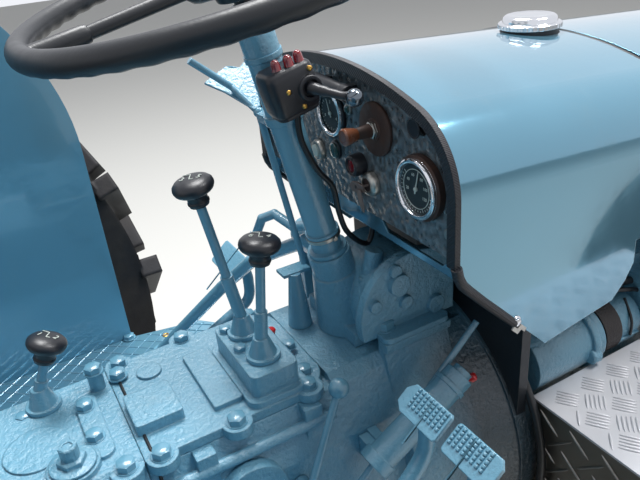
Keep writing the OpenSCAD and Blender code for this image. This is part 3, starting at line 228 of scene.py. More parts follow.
def sheetMetalFinish(name, dull, bright, metallic):  # bare rolled aluminium, hazed and scratched
    f = Finish(name)
    haze = f.noise(7.0, 6.0, 0.6)
    f.set(Base_Color=f.mix(haze, dull, bright))
    drawn = f.node("ShaderNodeMapping", inputs={"Vector": f.place(), "Scale": (12, 260, 260)})
    scratch = f.node("ShaderNodeTexNoise", inputs={"Vector": drawn, "Scale": 3.0})
    f.set(Roughness=0.20 + 0.16 * haze + 0.10 * scratch, Metallic=metallic)
    f.set(Normal=f.bump(scratch, 0.0002, 0.25, f.softEdge(0.0012)))
    return f.material


def rubberFinish(name, colour, roughness, ribs=0.0):  # ribs: lines per metre of a moulded hatch
    f = Finish(name)
    f.set(Base_Color=f.mix(f.noise(40.0, 5.0), *shades(colour, 0.8, 1.25)))
    f.set(Roughness=roughness + 0.15 * (f.noise(60.0) - 0.5))
    skin = f.bump(f.noise(300.0), 0.0003, 0.4, f.softEdge(0.0015))
    if ribs:
        wave = f.node("ShaderNodeTexWave", {"bands_direction": "DIAGONAL"},
                      {"Vector": f.place(), "Scale": ribs})
        skin = f.bump(wave, 0.0007, 0.45, skin)
    f.set(Normal=skin)
    return f.material


def tyreFinish(name, dark, light, dried):  # black rubber with dried earth on it
    f = Finish(name)
    dust = f.ramp(f.noise(9.0, 7.0, 0.65), (0.46, 0.0), (0.76, 1.0))
    f.set(Base_Color=f.mix(dust * 0.22, f.mix(f.noise(50.0), dark, light), dried))
    f.set(Roughness=0.55 + 0.25 * dust, Specular_IOR_Level=0.3)
    f.set(Normal=f.bump(f.noise(220.0, 4.0), 0.0006, 0.5, f.softEdge(0.010)))
    return f.material


def lampFinish(name, colour):  # coloured lens over a pale cup
    f = Finish(name)
    f.set(Base_Color=f.mix(f.noise(120.0), *shades(colour, 0.8, 1.2)))
    f.set(Roughness=0.08, Transmission_Weight=0.25, IOR=1.5, Coat_Weight=1.0)
    f.set(Normal=f.bump(f.cells(500.0), 0.0002, 0.3))
    return f.material


def glassFinish(name):
    f = Finish(name)
    f.set(Base_Color=(1, 1, 1), Roughness=0.03, Transmission_Weight=1.0, IOR=1.02, Alpha=0.16,
          Specular_IOR_Level=1.0)
    f.set(Normal=f.bump(f.noise(12.0), 0.0002, 0.2))
    return f.material


sheetPaint = paintFinish("sheetPaint")
polishedPaint = paintFinish("polishedPaint", mirror=0.56)
castPaint = paintFinish("castPaint", 0.8, 0.003)
# castings that carry the painted shade on the clutch bell under the cowl
casePaint = paintFinish("casePaint", 0.8, 0.003, paintBellShade=True)
boltPaint = paintFinish("boltPaint", 0.2, 0.0006)
forgedPaint = paintFinish("forgedPaint", 0.35, 0.0018)
blackPlastic = rubberFinish("blackPlastic", tone(30, 32, 38), 0.36)
wheelRubber = rubberFinish("wheelRubber", tone(26, 29, 34), 0.40)
trimRubber = rubberFinish("trimRubber", tone(32, 32, 37), 0.42, 190.0)
hoseRubber = rubberFinish("hoseRubber", tone(24, 26, 29), 0.38)
tyreRubber = tyreFinish("tyreRubber", tone(26, 26, 29), tone(42, 42, 46), tone(104, 96, 84))
rimPaint = plainFinish("rimPaint", tone(150, 34, 26), 0.32, coat=0.6, edge=0.002)
hammerPaint = hammerFinish("hammerPaint", tone(78, 84, 88), tone(126, 133, 137))
# one aluminium in three copies: the box's sides darker as painted shade, the lid and its bars near white as
# painted light, the side bars lighter as painted highlight
shadedBoxSheet = sheetMetalFinish("shadedBoxSheet", tone(108, 102, 94), tone(146, 140, 130), 0.85)
litLidSheet = sheetMetalFinish("litLidSheet", tone(196, 196, 200), tone(224, 224, 228), 0.15)
litBarSheet = sheetMetalFinish("litBarSheet", tone(134, 130, 124), tone(166, 162, 156), 0.8)
chrome = plainFinish("chrome", tone(222, 224, 228), 0.12, metallic=1.0, depth=0.0001)
dullSteel = plainFinish("dullSteel", tone(178, 176, 170), 0.34, metallic=1.0)
keySteel = plainFinish("keySteel", tone(128, 112, 106), 0.4, metallic=0.35)
stalkBall = plainFinish("stalkBall", tone(112, 120, 128), 0.14, metallic=0.9)
brass = plainFinish("brass", tone(202, 160, 84), 0.28, metallic=1.0)
heatIron = rustFinish("heatIron", tone(46, 44, 43), tone(96, 62, 42), 0.35)
rustyDisc = rustFinish("rustyDisc", tone(56, 45, 43), tone(82, 55, 44), 0.4, 0.5)
brownKnob = plainFinish("brownKnob", tone(118, 70, 46), 0.25, coat=0.8)
seatPaint = plainFinish("seatPaint", tone(36, 37, 40), 0.3, coat=0.5, edge=0.002)
dialFace = plainFinish("dialFace", tone(34, 42, 44), 0.4)
dialMarks = plainFinish("dialMarks", tone(206, 214, 206), 0.5)
redLamp = lampFinish("redLamp", tone(150, 6, 26))
greenLamp = lampFinish("greenLamp", tone(28, 74, 66))
redPlastic = plainFinish("redPlastic", tone(206, 26, 30), 0.3, coat=0.4)
clearGlass = glassFinish("clearGlass")
# painted shade: the fuel tank is coloured near black for the shadow it lies in under the dashboard, not the
# blue of its real paint
shadowDarkTank = plainFinish("shadowDarkTank", tone(30, 36, 42), 0.4)
tapeBlack = plainFinish("tapeBlack", tone(46, 42, 42), 0.6, grain=420.0, depth=0.003)

wheels = ("rear_left", "rear_right", "front_left", "front_right")
finishOf = {
    casePaint: ["gearbox_case"],
    castPaint: ["rear_axle_case", "gearbox_cover", "engine_block", "front_bolster", "front_axle",
                "steering_box"],
    forgedPaint: ["knuckle_left", "knuckle_right", "drop_arm", "gear_levers", "pedals", "pedal_shaft",
                  "hitch", "tie_rod", "drag_link", "hand_levers", "steering_column"],
    polishedPaint: ["cowl", "bonnet"],
    sheetPaint: ["footplates", "fenders", "headlamps", "grille"],
    blackPlastic: ["lever_knobs", "column_switch"],
    wheelRubber: ["steering_wheel"],
    trimRubber: ["dash_trim"],
    tyreRubber: ["tyre_" + wheel for wheel in wheels],
    rimPaint: ["rim_" + wheel for wheel in wheels],
    hammerPaint: ["dash_panel"],
    # painted shade on the box's sides, painted light on the lid
    shadedBoxSheet: ["battery_box"],
    litLidSheet: ["battery_lid"],
    chrome: ["instruments", "fuel_cap"],
    heatIron: ["radiator", "exhaust"],
    # fuel tank in its painted shade
    shadowDarkTank: ["fuel_tank"],
    seatPaint: ["seat"],
}
for material, names in finishOf.items():
    for name in names:
        for slot in nodes[name].material_slots:
            slot.material = material
print("finishes laid on", sum(map(len, finishOf.values())), "nodes")


def facing(point, along=(0, 0, 1), turn=0.0):  # frame at a point, its z along a direction
    return Matrix.Translation(point) @ Vector(along).to_track_quat("Z", "Y").to_matrix().to_4x4() @ spin(turn)


def plainMesh(thing):  # what an object's modifiers or its text make of it
    bpy.context.view_layer.update()
    return bpy.data.meshes.new_from_object(thing.evaluated_get(bpy.context.evaluated_depsgraph_get()))


def shaded(mesh, degrees):
    mesh.shade_smooth()
    mesh.set_sharp_from_angle(angle=math.radians(degrees))


class Form:  # a mesh drawn in local frames, each with z along the form
    def __init__(self, material):
        self.mesh, self.materials, self.index = bmesh.new(), [material], 0

    def use(self, material):
        if material not in self.materials:
            self.materials.append(material)
        self.index = self.materials.index(material)
        return self

    def skin(self, rings, closed=False):  # walls from ring to ring, where a ring of one point is a pole
        made = [[self.mesh.verts.new(point) for point in ring] for ring in rings]
        for lower, upper in zip(made, made[1:] + (made[:1] if closed else [])):
            for k in range(max(len(lower), len(upper))):
                corners = [lower[k % len(lower)], lower[(k + 1) % len(lower)],
                           upper[(k + 1) % len(upper)], upper[k % len(upper)]]
                corners = list(dict.fromkeys(corners))
                if len(corners) > 2:
                    self.mesh.faces.new(corners).material_index = self.index
        for end in (made[0], made[-1]):
            if not closed and len(end) > 2:
                self.mesh.faces.new(end).material_index = self.index
        return self

    def lathe(self, where, profile, steps=32, closed=False):  # profile of (along, radius)
        rings = [[where @ Vector((*polar(radius, 360 * k / steps), along)) for k in range(steps)]
                 if radius else [where @ Vector((0, 0, along))] for along, radius in profile]
        return self.skin(rings, closed)

    def tube(self, points, radius, sides=12):  # radius: a number, or one for each point
        points = [Vector(p) for p in points]
        side, rings = None, []
        for k, point in enumerate(points):
            ahead = (points[min(k + 1, len(points) - 1)] - points[max(k - 1, 0)]).normalized()
            side = (side - ahead * side.dot(ahead)).normalized() if side else ahead.orthogonal().normalized()
            r = radius[k] if isinstance(radius, list) else radius
            turns = [polar(r, 360 * s / sides) for s in range(sides)]
            rings.append([point + side * a + ahead.cross(side) * b for a, b in turns])
        return self.skin(rings)

    def prism(self, where, outline, bottom, top):
        return self.skin([[where @ Vector((*p, z)) for p in outline] for z in (bottom, top)])

    def block(self, where, size):  # stands on the frame's middle
        x, y = size[0] / 2, size[1] / 2
        return self.prism(where, [(-x, -y), (x, -y), (x, y), (-x, y)], 0, size[2])

    def take(self, other, where):  # a ready mesh joins the form
        oldVerts, oldFaces = len(self.mesh.verts), len(self.mesh.faces)
        self.mesh.from_mesh(other)
        self.mesh.verts.ensure_lookup_table()
        self.mesh.faces.ensure_lookup_table()
        for vert in self.mesh.verts[oldVerts:]:
            vert.co = where @ vert.co
        for face in self.mesh.faces[oldFaces:]:
            face.material_index = self.index

    def done(self, name, body="root", replaced=(), slot=None, bevel=0.0, smooth=38):
        bmesh.ops.transform(self.mesh, matrix=onTractor, verts=self.mesh.verts)
        bmesh.ops.recalc_face_normals(self.mesh, faces=self.mesh.faces)
        mesh = bpy.data.meshes.new(name)
        self.mesh.to_mesh(mesh)
        self.mesh.free()
        for material in self.materials:
            mesh.materials.append(material)
        shaded(mesh, smooth)
        piece = added(name, mesh)
        if bevel:
            rounding = piece.modifiers.new("rounding", "BEVEL")
            rounding.width, rounding.segments, rounding.limit_method = bevel / 1000, 2, "ANGLE"
            rounding.angle_limit = math.radians(45)
            rounding.harden_normals = True
        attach(piece, body)
        if replaced:
            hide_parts(*replaced)


def curved(points, steps=6):  # a smooth path through a few points
    points = [Vector(p) for p in points]
    ends = [points[0] * 2 - points[1], *points, points[-1] * 2 - points[-2]]
    path = []
    for a, b, c, d in zip(ends, ends[1:], ends[2:], ends[3:]):
        for k in range(steps):
            t = k / steps
            path.append(0.5 * (2 * b + (c - a) * t + (2 * a - 5 * b + 4 * c - d) * t * t
                               + (3 * b - a - 3 * c + d) * t ** 3))
    return path + [points[-1]]


def figures(form, text, where, height):  # plain numerals, raised a little
    curve = bpy.data.curves.new("figures", "FONT")
    curve.body, curve.size, curve.extrude = text, height, 0.25
    curve.align_x, curve.align_y, curve.resolution_u = "CENTER", "CENTER", 3
    writer = added("figures", curve)
    form.take(plainMesh(writer), where)
    bpy.data.objects.remove(writer)
    bpy.data.curves.remove(curve)


# what repeats: a geometry tree sets one small form on seed points
class Growth:
    seedFields = {"facing": ("FLOAT_VECTOR", "vector"), "spin": ("FLOAT", "value"),
                  "grow": ("FLOAT_VECTOR", "vector")}

    def __init__(self, name, **sizes):
        self.tree = bpy.data.node_groups.new(name, "GeometryNodeTree")
        ends = self.tree.interface
        ends.new_socket("Geometry", in_out="INPUT", socket_type="NodeSocketGeometry")
        self.sizes = {ends.new_socket(label, in_out="INPUT", socket_type="NodeSocketFloat").identifier: value
                      for label, value in sizes.items()}
        ends.new_socket("Geometry", in_out="OUTPUT", socket_type="NodeSocketGeometry")
        self.enter = self.tree.nodes.new("NodeGroupInput")
        self.leave = self.tree.nodes.new("NodeGroupOutput")

    def node(self, kind, settings=None, inputs=None, out=0):
        made = self.tree.nodes.new(kind)
        for key, value in (settings or {}).items():
            setattr(made, key, value)
        for key, value in (inputs or {}).items():
            if isinstance(value, bpy.types.NodeSocket):
                self.tree.links.new(value, made.inputs[key])
            else:
                made.inputs[key].default_value = value
        return made.outputs[out]

    def size(self, label):
        return self.enter.outputs[label]

    def raised(self, shape, height, times=1.0):
        part = self.node("ShaderNodeMath", {"operation": "MULTIPLY"}, {0: height, 1: times})
        return self.node("GeometryNodeTransform", inputs={
            "Geometry": shape, "Translation": self.node("ShaderNodeCombineXYZ", inputs={"Z": part})})

    def stretched(self, shape):  # by the inputs named long, wide and high
        spans = {axis: self.size(label) for axis, label in (("X", "long"), ("Y", "wide"), ("Z", "high"))}
        return self.node("GeometryNodeTransform", inputs={
            "Geometry": shape, "Scale": self.node("ShaderNodeCombineXYZ", inputs=spans)})

    def joined(self, *shapes):
        made = self.tree.nodes.new("GeometryNodeJoinGeometry")
        for shape in shapes:
            self.tree.links.new(shape, made.inputs[0])
        return made.outputs[0]

    def close(self, unit):  # the unit stands on every seed, turned and sized as the seed says
        read = {label: self.node("GeometryNodeInputNamedAttribute", {"data_type": kind}, {"Name": label})
                for label, (kind, _) in self.seedFields.items()}
        upright = self.node("FunctionNodeAlignRotationToVector", {"axis": "Z"}, {"Vector": read["facing"]})
        about = self.node("FunctionNodeAxisAngleToRotation",
                          inputs={"Axis": (0, 0, 1), "Angle": read["spin"]})
        turned = self.node("FunctionNodeRotateRotation", {"rotation_space": "LOCAL"},
                           {"Rotation": upright, "Rotate By": about})
        many = self.node("GeometryNodeInstanceOnPoints", inputs={
            "Points": self.enter.outputs[0], "Instance": unit, "Rotation": turned, "Scale": read["grow"]})
        real = self.node("GeometryNodeRealizeInstances", inputs={"Geometry": many})
        self.painter = self.tree.nodes.new("GeometryNodeSetMaterial")
        self.tree.links.new(real, self.painter.inputs["Geometry"])
        self.tree.links.new(self.painter.outputs[0], self.leave.inputs[0])

    def repeats(self, material, name, spots, body="root"):  # spots: (point, facing, turn, (wide, deep, high))
        self.painter.inputs["Material"].default_value = material
        seeds = bpy.data.meshes.new(name + "Seeds")
        seeds.from_pydata([onTractor @ Vector(spot[0]) for spot in spots], [], [])
        rows = {"facing": [spot[1] for spot in spots], "spin": [math.radians(spot[2]) for spot in spots],
                "grow": [Vector(spot[3]) / 1000 for spot in spots]}
        for label, (kind, field) in self.seedFields.items():
            layer = seeds.attributes.new(label, kind, "POINT")
            for k, value in enumerate(rows[label]):
                setattr(layer.data[k], field, value)
        host = added(name + "Host", seeds)
        grower = host.modifiers.new("growth", "NODES")
        grower.node_group = self.tree
        for key, value in self.sizes.items():
            grower[key] = value
        mesh = plainMesh(host)
        bpy.data.objects.remove(host)
        mesh.name = name
        shaded(mesh, 38)
        for label in self.seedFields:
            if label in mesh.attributes:
                mesh.attributes.remove(mesh.attributes[label])
        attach(added(name, mesh), body)


# steering wheel: a thick rim with finger grips beneath, three sleeved spokes and a shouldered hub
wheel = {"radius": 211.0, "grip": 11.5, "waves": 48, "waveDepth": 1.3, "hubUp": 420.0,
         "spokesAt": (62, 182, 302)}
column = {"foot": (737, 0, 830), "lean": 12.6, "jacket": 19.2}


def onColumn(up):  # frame on the steering column, z up the column, x forward
    return shift(*column["foot"]) @ spin(-column["lean"], "Y") @ shift(0, 0, up)


hubFrame = onColumn(wheel["hubUp"])
rim = Form(wheelRubber)
sections = []
for k in range(wheel["waves"] * 8):
    around = 45 * k / wheel["waves"]
    ripple = math.cos(math.radians(around * wheel["waves"]))
    section = []
    for a in range(0, 360, 18):
        under = max(0.0, math.cos(math.radians(a - 250))) ** 1.5  # the grips lie below and inside
        out, rise = polar(wheel["grip"] - wheel["waveDepth"] * under * (0.5 + 0.5 * ripple), a)
        section.append(hubFrame @ Vector((*polar(wheel["radius"] + out, around), rise)))
    sections.append(section)
rim.skin(sections, closed=True)
for spokeAt in wheel["spokesAt"]:
    rim.lathe(hubFrame @ spin(spokeAt) @ shift(0, 0, -2) @ spin(90, "Y"), [
        (22, 0), (22, 15), (30, 16), (44, 14.5), (50, 12.5), (53, 9.5), (56, 7), (150, 6.5), (151, 8),
        (156, 9), (180, 9.6), (205, 10.6), (211, 0)], 24)
rim.lathe(hubFrame, [(-24, 0), (-24, 26), (-8, 31), (-4, 33), (14, 33), (17, 31), (19, 25), (19.5, 24),
                     (21.5, 23), (22, 0)], 40)
rim.lathe(onColumn(0), [(338.4, 0), (338.4, 11), (400, 11), (400, 0)], 24)
rim.use(chrome).lathe(hubFrame, [(19.6, 0), (19.6, 23), (22.2, 22.5), (23.4, 20), (24, 12), (24.2, 0)], 40)
rim.done("steering_wheel_rim", "steering_wheel", ["steering_wheel"], "rubber_black")
jacket = Form(forgedPaint)  # head of the column's jacket under the hub
jacket.lathe(onColumn(0), [
    (337, 12.5), (337, column["jacket"]), (384, column["jacket"]), (387, 17.5), (388, 15), (388, 12.5)],
    40, closed=True)
jacket.done("column_head")
print("steering wheel made")

# lever knobs: waisted black knobs with the gate and its numbers in white
levers = [  # foot X, Y, foot's height over the case, head X, head's height, knob's radius, numbers
    (597, 6, 36, 572, 228, 23, ("3", "5")),
    (597, -49, 36, 609, 167, 23, ("6", "4")),
    (363, 62, 0, 378, 72, 22, ("1", "2"))]
gate = {"caseTop": 800, "headBelow": 34, "knobBelow": 14, "numberHigh": 10, "lineRadius": 0.55,
        "line": [(-11, 4), (-3, 6), (1, -4), (5, -2)]}
knobs = Form(blackPlastic)
for footX, y, footUp, headX, headUp, r, numbers in levers:
    lean = math.degrees(math.atan2(headX - footX, headUp - gate["headBelow"] - footUp))
    top = shift(headX, y, gate["caseTop"] + headUp - gate["knobBelow"]) @ spin(lean, "Y") @ shift(0, 0, 0.3)
    knobs.use(blackPlastic).lathe(top, [
        (0, 0), (0, 11), (2, 11.4), (3, 12.2), (5, 12.2), (6, 11.2), (12, 11.4), (14, 13), (16, r - 4),
        (18, r - 1.6), (21, r - 0.2), (23, r), (26, r - 0.7), (29, r - 3.6), (31, r - 8), (32.4, r * 0.42),
        (33, 0)], 48)
    face = top @ shift(0, 0, 32.8) @ spin(-52)
    knobs.use(dialMarks)
    figures(knobs, numbers[0], face @ shift(-8, -4, 0), gate["numberHigh"])
    figures(knobs, numbers[1], face @ shift(9, 3, -0.1), gate["numberHigh"])
    for start, end in zip(gate["line"], gate["line"][1:]):
        knobs.tube([face @ Vector((*start, 0.1)), face @ Vector((*end, 0.1))], gate["lineRadius"], 6)
knobs.done("lever_knob_tops", "root", ["lever_knobs"], "plastic_black")
print("lever knobs made")

# column switch: cast black case with a round pocket for the stalk, three red lamps and brass screws
switchBox = {"up": 307, "halfWide": 27, "front": -57.5, "middle": -38, "back": -18.8, "corner": 9, "bow": 1.6,
             "halfDeep": 20, "lamps": ((-9, 13), (4, 11), (16, 12)), "screws": ((-9, 1), (20, 14), (3, -19))}
switchFrame = onColumn(switchBox["up"])
caseFront = switchBox["front"]
caseCable = [(684, -24.5, 1106), (685, -24.5, 1068), (700, -25.5, 1030), (719, -23.5, 1003),
             (726, -21.5, 968), (738, -18.5, 936), (766, -16.5, 912), (777, -18.5, 950), (777, -30, 1010)]
caseWalls = [  # height, inset
    (-24.5, 5), (-23, 2.4), (-19, 1.0), (0, 0.2), (14, 0.4), (19, 1.6), (21.4, 4.0), (22, 8.0)]


def caseOutline(wide, deep):  # the case from above, shrunk about its middle; its front face is bowed a little
    r, side = switchBox["corner"], switchBox["halfWide"] - switchBox["corner"]
    front, back = caseFront + r + switchBox["bow"], switchBox["back"] - r
    points = []
    for x, y, start in ((side, front, -90), (side, back, 0), (-side, back, 90),
                        (-side, caseFront + r, 180)):
        for turn in (0, 22.5, 45, 67.5, 90):
            outX, outY = polar(r, start + turn)
            points.append(((x + outX) * wide, switchBox["middle"] + (y + outY - switchBox["middle"]) * deep))
    return points


switch = Form(blackPlastic)
walls = [(height, caseOutline(1 - inset / switchBox["halfWide"], 1 - inset / switchBox["halfDeep"]))
         for height, inset in caseWalls]
switch.skin([[switchFrame @ Vector((*p, height)) for p in outline] for height, outline in walls])
switch.prism(switchFrame, caseOutline(0.86, 0.86), -27, -24)
switch.lathe(switchFrame @ shift(14, caseFront + 0.5, -4) @ spin(90, "X"), [
    (-2, 0), (-2, 13), (1.6, 13), (2.6, 12), (2.6, 9), (-1, 8), (-1, 0)], 28)
stalk = curved([(14, caseFront, -4), (20, caseFront - 14, -7), (27, caseFront - 30, -11),
                (34, caseFront - 44, -14)])
switch.tube([switchFrame @ p for p in stalk], [6.2] * 4 + [5.2] * 4 + [4.4] * 4 + [4.0] * 3 + [4.6] * 4, 16)
switch.use(stalkBall).lathe(switchFrame @ facing((34, caseFront - 46, -14), (20, -46, -10)), [
    (-9, 0), (-8.4, 3.6), (-6.4, 6.4), (-3, 8.5), (0, 9), (3, 8.5), (6.4, 6.4), (8.4, 3.4), (9, 0)], 28)
switch.use(redLamp)
for x, y in switchBox["lamps"]:
    switch.lathe(switchFrame @ shift(x, caseFront + y, 20), [
        (0, 0), (0, 5.6), (1.2, 5.6), (2, 5.0), (8, 4.7), (10.4, 4.0), (12, 2.6), (12.9, 0)], 20)
switch.use(brass)
for x, z in switchBox["screws"]:
    switch.lathe(switchFrame @ shift(x, caseFront + 1.2, z) @ spin(90, "X"), [
        (-2, 0), (-2, 2.6), (0.8, 2.6), (1.4, 2.0), (1.6, 1.0), (1.0, 0)], 16)
switch.use(hoseRubber).tube(curved(caseCable), 3.4)
switch.done("column_switch_case", "root", ["column_switch"], "plastic_black")
print("column switch made")

# instruments: each has its place on the dashboard, to the left of the middle and below the cowl's top
dash = {"face": 748.7, "top": 1140.0}
dashSpots = {
    "smallGauge": (16, -66), "bigGauge": (-152, -104), "starter": (-74, -64), "pushButton": (53, -120),
    "greenLens": (13, -110), "redLens": (-40, -112), "keySwitch": (-62, -129), "hole": (-137.9, -48.7),
    "pilot": (-20, -54), "screw": (-190, -141)}
dashTurned = [  # place, finish, sides, profile of (out from the panel, radius)
    ("starter", rustyDisc, 56, [(0, 0), (0, 29), (2.6, 29), (3.4, 28), (3.6, 12), (5.0, 11), (5.2, 0)]),
    ("starter", dullSteel, 6, [(4, 0), (4, 9.5), (8, 9.5), (9, 8), (10, 5.4), (10, 0)]),
    ("starter", rustyDisc, 24, [(9, 0), (9, 7.4), (26, 6.2), (27, 0)]),
    ("starter", brownKnob, 32, [(25, 0), (25, 6.4), (28, 7.4), (36, 9.0), (40, 9.2), (41.6, 7.8), (42, 5),
                                (41.4, 0)]),
    ("pushButton", dullSteel, 36, [(0, 0), (0, 13), (4, 13), (6.4, 11.6), (7, 9), (6, 8.6), (6, 0)]),
    ("pushButton", dialMarks, 28, [(5, 0), (5, 7.6), (8.2, 7.2), (9, 5.6), (9.2, 0)]),
    ("greenLens", blackPlastic, 32, [(0, 0), (0, 11.5), (2, 11.5), (3, 10), (3, 0)]),
    ("greenLens", greenLamp, 32, [(2, 0), (2, 9.6), (4.6, 9.2), (6.4, 6.6), (7, 0)]),
    ("redLens", blackPlastic, 36, [(0, 0), (0, 13), (11, 12.6), (14, 11.4), (15, 9.6), (14.6, 8.2),
                                   (12.6, 7.6), (12.6, 0)]),
    ("redLens", redLamp, 28, [(11, 0), (11, 7.4), (13, 7), (14, 4.4), (14.3, 0)]),
    ("keySwitch", dullSteel, 36, [(0, 0), (0, 14), (5, 14), (7, 12.6), (9, 9.6), (9, 8.2), (7, 7.8), (7, 0)]),
    ("keySwitch", rustyDisc, 24, [(6.4, 0), (6.4, 7.6), (8.2, 7.2), (8.4, 0)]),
    ("hole", blackPlastic, 32, [(0, 0), (0, 10), (0.8, 10), (1.2, 9.2), (0.5, 8.6), (0.5, 0)]),
    ("pilot", greenLamp, 16, [(0, 0), (0, 5), (3, 5), (4.4, 3), (4.8, 0)]),
    ("pilot", dullSteel, 20, [(0, 0), (0, 6.6), (1.6, 6.6), (2, 5.2), (2, 0)]),
    ("screw", dullSteel, 20, [(0, 0), (0, 6), (1, 6), (2, 5), (2.4, 3), (2, 0)])]


def onDash(spot, proud=0.0):  # frame that faces the driver: x right, y up, z towards the seat
    left, up = dashSpots[spot]
    return Matrix(((0, 0, -1, dash["face"] - proud), (-1, 0, 0, left), (0, 1, 0, dash["top"] + up),
                   (0, 0, 0, 1)))


gauges = {  # ring is the radius that the numbers stand on, figure their height; each has its angle
    "smallGauge": {"radius": 27, "depth": 7, "needleAt": 112, "ticks": 21, "can": blackPlastic, "ring": 13,
                   "figure": 5, "numbers": (("0", 200), ("2", 90), ("4", -20))},
    "bigGauge": {"radius": 31, "depth": 13, "needleAt": 76, "ticks": 26, "can": rustyDisc, "ring": 14.5,
                 "figure": 4.6, "numbers": (("20", 190), ("40", 150), ("60", 110), ("80", 55), ("100", 15),
                                            ("120", -28))}}


def gauge(form, spot, radius, depth, needleAt, ticks, can, ring, figure, numbers):
    place = onDash(spot)
    form.use(can).lathe(place, [(0, 0), (0, radius + 2.6), (depth * 0.5, radius + 2.6),
                                (depth * 0.62, radius), (depth * 0.62, radius - 3), (0.6, radius - 3),
                                (0.6, 0)], 56)
    form.use(chrome).lathe(place, [
        (depth * 0.5, radius - 0.6), (depth - 1.6, radius), (depth - 0.4, radius - 1.4),
        (depth, radius - 2.8), (depth - 0.6, radius - 4.2), (depth - 2.2, radius - 5.0),
        (depth * 0.5, radius - 5.0)], 56, closed=True)
    face = depth - 4.4
    form.use(dialFace).lathe(place, [(face - 1, 0), (face - 1, radius - 4.6), (face, radius - 4.8),
                                     (face, 0)], 56)
    form.use(dialMarks)
    reach = radius - 7
    for k in range(ticks):
        long = 3.4 if k % 5 == 0 else 1.8
        mark = place @ shift(0, 0, face) @ spin(-220 + 260 * k / (ticks - 1))
        form.block(mark @ shift(reach - long / 2, 0, 0), (long, 0.5, 0.3))
    swing = place @ shift(0, 0, face + 1.0) @ spin(needleAt)
    form.prism(swing, [(-5, -0.9), (reach - 3, -0.35), (reach - 3, 0.35), (-5, 0.9)], 0, 0.5)
    form.lathe(swing, [(-0.8, 0), (-0.8, 2.2), (1.0, 2.2), (1.6, 1.2), (1.8, 0)], 16)
    for text, angle in numbers:
        figures(form, text, place @ shift(*polar(ring, angle), face + 0.1), figure)


panel = Form(chrome)
for spot, facts in gauges.items():
    gauge(panel, spot, **facts)
panel.lathe(onDash("bigGauge"), [(8.6, 20.4), (9.2, 20.4), (9.2, 19.8), (8.6, 19.8)], 48, closed=True)
for spot, finish, sides, profile in dashTurned:
    panel.use(finish).lathe(onDash(spot), profile, sides)
key = onDash("keySwitch", 8)
panel.use(keySteel).block(key @ spin(20), (7.5, 2, 7))
panel.prism(key @ shift(-3, -2, 6) @ spin(12, "Y"),
            [(5, 3), (-3, 6), (-12, 5), (-16, 0), (-12, -6), (-2, -8), (6, -4)], 0, 2.2)
panel.prism(key @ shift(-2, -4, 8.6) @ spin(-8, "Y"),
            [(-6, 0), (-4, -10), (5, -23), (10, -23), (11, -18), (4, 1)], 0, 1.0)
panel.use(blackPlastic).lathe(key @ shift(-9, -2, 7.5), [(0, 0), (0, 2.2), (2.2, 2.2), (2.2, 0)], 14)
panel.tube([(732.7, 24, 1115), (732.7, 20, 1114.8), (732.7, -42, 1111.2), (732.7, -46, 1111)],
           [6.6, 8, 8, 7], 20)
panel.lathe(facing((732.7, -38, 1111.4), (0, -1, -0.06)), [(0, 9), (10, 9), (11, 8), (11, 0)], 20)
panel.block(shift(740.7, -34, 1104), (16, 12, 12))
panel.block(shift(740.7, 16, 1107), (16, 10, 10))
panel.done("instrument_cluster", "root", ["instruments"], "chrome")
glasses = Form(clearGlass)
for spot, facts in gauges.items():
    r, depth = facts["radius"], facts["depth"]
    glasses.lathe(onDash(spot), [(depth - 2.4, 0), (depth - 2.4, r - 5.2), (depth - 1.8, r - 5.4),
                                 (depth - 0.9, r * 0.5), (depth - 0.7, 0)], 40)
glasses.done("gauge_glasses")
print("instruments made")

# bolts, nuts and screws of the castings, all from one tree with a head of radius 1
bolts = Growth("boltTree", headHeight=0.80, washerWide=1.16, washerThick=0.16, chamfer=0.12)
washer = bolts.node("GeometryNodeMeshCylinder", inputs={
    "Vertices": 20, "Radius": bolts.size("washerWide"), "Depth": bolts.size("washerThick")})
head = bolts.node("GeometryNodeMeshCylinder", inputs={
    "Vertices": 6, "Radius": 1.0, "Depth": bolts.size("headHeight")})
crown = bolts.node("GeometryNodeMeshCone", inputs={
    "Vertices": 12, "Radius Top": 0.74, "Radius Bottom": 0.90, "Depth": bolts.size("chamfer")})
bolts.close(bolts.joined(washer, bolts.raised(head, bolts.size("headHeight"), 0.5),
                         bolts.raised(crown, bolts.size("headHeight"))))
upward = (0, 0, 1)
caseBolts = [  # X, Y, height of its seat, radius over the corners, turn
    (403, 26, 804, 9.5, 10), (402, -30, 804, 9.5, 24), (424, 58, 824, 10, 5), (449, 60, 804, 10, 18),
    (339, 60, 794, 9, 12), (420, -86, 798, 10.5, 22), (288, -70, 796, 9, 0), (456, -92, 800, 10.5, 8),
    (540, -92, 800, 10.5, 26), (632, -86, 800, 9.5, 14), (640, -60, 800, 9, 3), (456, 88, 800, 10, 20),
    (540, 92, 800, 10, 9), (632, 86, 800, 10, 30), (644, -16, 808, 8, 12), (631, -32, 808, 8, 2),
    (579, 23, 836, 7.5, 16), (579, -23, 836, 7.5, 0), (748, -71, 825, 13, 10)]
bolts.repeats(boltPaint, "case_bolts",
              [((x, y, z), upward, turn, (r, r, r)) for x, y, z, r, turn in caseBolts])
axleFlange = {"ring": 100, "out": 419, "up": 628, "count": 8}
frameBolts = []
for side in (-1, 1):  # foot of the fender, footplate, then the axle's flange
    frameBolts += [((520, side * 441, 604), upward, 12, (10, 10, 8)),
                   ((170, side * 300, 602), upward, 5, (9, 9, 6)),
                   ((560, side * 300, 602), upward, 22, (9, 9, 6))]
    for k in range(axleFlange["count"]):
        x, z = polar(axleFlange["ring"], 22.5 + 45 * k)
        place = (x, side * axleFlange["out"], axleFlange["up"] + z)
        frameBolts.append((place, (0, side, 0), 45 * k, (9, 9, 8)))
